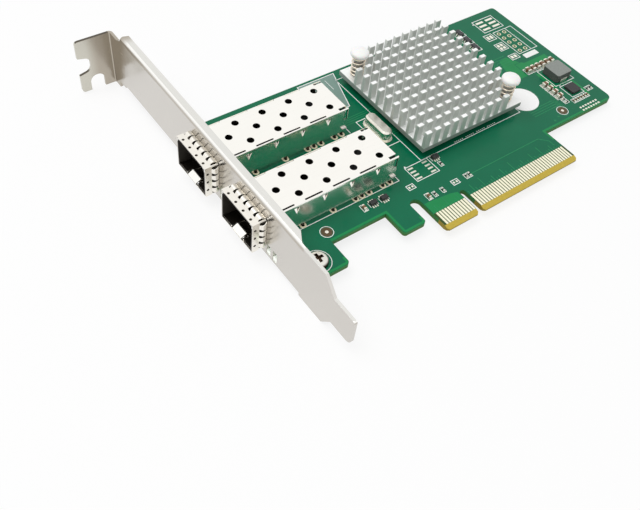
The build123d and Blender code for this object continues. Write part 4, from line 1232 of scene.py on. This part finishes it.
class CARD_OT_place_packages(CardStep, bpy.types.Operator):
    """Places three leaded packages beside the heat sink"""

    bl_idname = "card.place_packages"
    bl_label = "Place packages"

    def build(self, sizes, colours):
        bodies, leads = Stock(), Stock()
        lead_path = ((0.7, 0.52), (0.98, 0.5), (1.12, 0.1), (1.45, 0.02))
        half, sheet = 0.2, 0.12
        for x, y in EDGE_PACKAGES:
            bodies.block((x - 0.82, y - 1.45, 0.1), (x + 0.82, y + 1.45, 1.1), 0.14)
            bodies.turned((x - 0.45, y + 1.1), ((0.2, 1.0), (0.2, 1.11), (0.16, 1.11)), 16)
            for side in (-1, 1):
                for middle in (y - 0.95, y, y + 0.95):
                    rings = []
                    for run, z in lead_path:
                        corners = frame_points(middle - half, z, middle + half, z + sheet)
                        rings.append([(x + side * run, *corner) for corner in corners])
                    leads.loft(rings)
        bodies.piece("edge_packages", "dark_moulding", bpy.data.materials["dark_moulding"])
        leads.piece("edge_package_leads", "tinned_metal", solder(colours))


class CARD_OT_set_stage(bpy.types.Operator):
    """Sets the floor, the soft light and the camera"""

    bl_idname = "card.set_stage"
    bl_label = "Set stage"

    def lay_floor(self, scene, stage):
        """Lays a round floor through the three points that the card rests on."""
        tab_rest, end_rest = Vector((-57.15, 101.92, CAD_BOX[0][2] / MM)), Vector((-56.3, -3.0, -4.24))
        pin_rest = Vector((*PUSH_PINS[0], CAPS_LOW.z))
        upright = (end_rest - tab_rest).cross(pin_rest - tab_rest)
        ground = []
        for x, y in round_points((0, 0), 6000, 64):
            slope = (x - tab_rest.x) * upright.x + (y - tab_rest.y) * upright.y
            ground.append((x * MM, y * MM, (tab_rest.z - slope / upright.z) * MM))
        mesh = bpy.data.meshes.new("floor")
        mesh.from_pydata(ground, [], [list(range(len(ground)))])
        floor = bpy.data.objects.new("floor", mesh)
        scene.collection.objects.link(floor)
        finish = Finish("floor_paper")
        finish.tree.nodes.remove(finish.shader)
        rays = finish.node("ShaderNodeLightPath", output="Is Camera Ray")
        seen = rays.larger(rays.sibling("Is Glossy Ray"))
        paper = finish.node("ShaderNodeBsdfDiffuse", inputs={"Color": (*stage.floor, 1.0)})
        plain = finish.node("ShaderNodeEmission", inputs={"Color": (1.0, 1.0, 1.0, 1.0), "Strength": 1.0})
        surface = finish.node("ShaderNodeMixShader", inputs={0: seen * stage.floor_lift, 1: paper, 2: plain})
        plug(surface, finish.tree.nodes["Material Output"].inputs["Surface"])
        mesh.materials.append(finish.material)

    def light_up(self, scene, stage):
        """Adds the light from all round, which looks white in itself, and the soft lamp."""
        scene.world = bpy.data.worlds.new("studio")
        scene.world.use_nodes = True
        air = Nodes(scene.world.node_tree)
        air.tree.nodes.clear()
        rays = air.node("ShaderNodeLightPath", output="Is Camera Ray")
        shown = rays.larger(rays.sibling("Is Glossy Ray")).larger(rays.sibling("Is Transmission Ray"))
        plain = {"Color": (1.0, 1.0, 1.0, 1.0), "Strength": 1.0}
        white = air.node("ShaderNodeBackground", inputs=plain)
        fill = air.node("ShaderNodeBackground", inputs={**plain, "Strength": stage.fill})
        sky = air.node("ShaderNodeMixShader", inputs={0: shown, 1: fill, 2: white})
        plug(sky, air.tree.nodes.new("ShaderNodeOutputWorld").inputs["Surface"])

        lamp = bpy.data.lights.new("softbox", "AREA")
        lamp.energy = stage.lamp
        lamp.size = stage.lamp_size
        softbox = bpy.data.objects.new("softbox", lamp)
        softbox.location = stage.lamp_place
        aim = Vector((0.0, 0.035, 0.0)) - Vector(stage.lamp_place)
        softbox.rotation_euler = aim.to_track_quat("-Z", "Y").to_euler()
        scene.collection.objects.link(softbox)

    def execute(self, context):
        scene, stage = context.scene, context.scene.card_stage
        scene.view_settings.view_transform = "Standard"
        self.lay_floor(scene, stage)
        self.light_up(scene, stage)
        lens = bpy.data.cameras.new("camera")
        lens.lens = stage.lens
        lens.sensor_width = 36.0
        camera = bpy.data.objects.new("camera", lens)
        camera.location = stage.eye
        camera.rotation_euler = stage.turn
        scene.collection.objects.link(camera)
        scene.camera = camera
        return {"FINISHED"}


OPERATORS = (
    CARD_OT_dress_board, CARD_OT_lay_copper, CARD_OT_print_board, CARD_OT_tin_pads, CARD_OT_dress_contacts,
    CARD_OT_dress_bracket, CARD_OT_turn_screws, CARD_OT_press_cages, CARD_OT_dress_cage_floors,
    CARD_OT_press_collars, CARD_OT_dress_heatsink, CARD_OT_turn_push_pins, CARD_OT_wind_springs,
    CARD_OT_dress_chips, CARD_OT_dress_crystal, CARD_OT_fit_lights, CARD_OT_solder_chips,
    CARD_OT_place_packages, CARD_OT_set_stage,
)


class CARD_PT_dress(bpy.types.Panel):
    """Lists the card's pieces, sizes and colours"""

    bl_label = "Network card"
    bl_space_type = "VIEW_3D"
    bl_region_type = "UI"
    bl_category = "Card"

    def draw(self, context):
        for operator in OPERATORS:
            self.layout.operator(operator.bl_idname)
        for group in (context.scene.card_sizes, context.scene.card_colours, context.scene.card_stage):
            box = self.layout.box()
            for name in group.__annotations__:
                box.prop(group, name)


CLASSES = (CardSizes, CardColours, CardStage, *OPERATORS, CARD_PT_dress)


def register():
    """Adds the card's classes and settings to Blender."""
    for part in CLASSES:
        bpy.utils.register_class(part)
    bpy.types.Scene.card_sizes = PointerProperty(type=CardSizes)
    bpy.types.Scene.card_colours = PointerProperty(type=CardColours)
    bpy.types.Scene.card_stage = PointerProperty(type=CardStage)


def unregister():
    """Takes the card's classes and settings out again."""
    del bpy.types.Scene.card_stage
    del bpy.types.Scene.card_colours
    del bpy.types.Scene.card_sizes
    for part in reversed(CLASSES):
        bpy.utils.unregister_class(part)


def main():
    """Dresses the whole card."""
    register()
    for operator in OPERATORS:
        getattr(bpy.ops.card, operator.bl_idname.split(".")[1])()


if __name__ == "__main__":
    main()
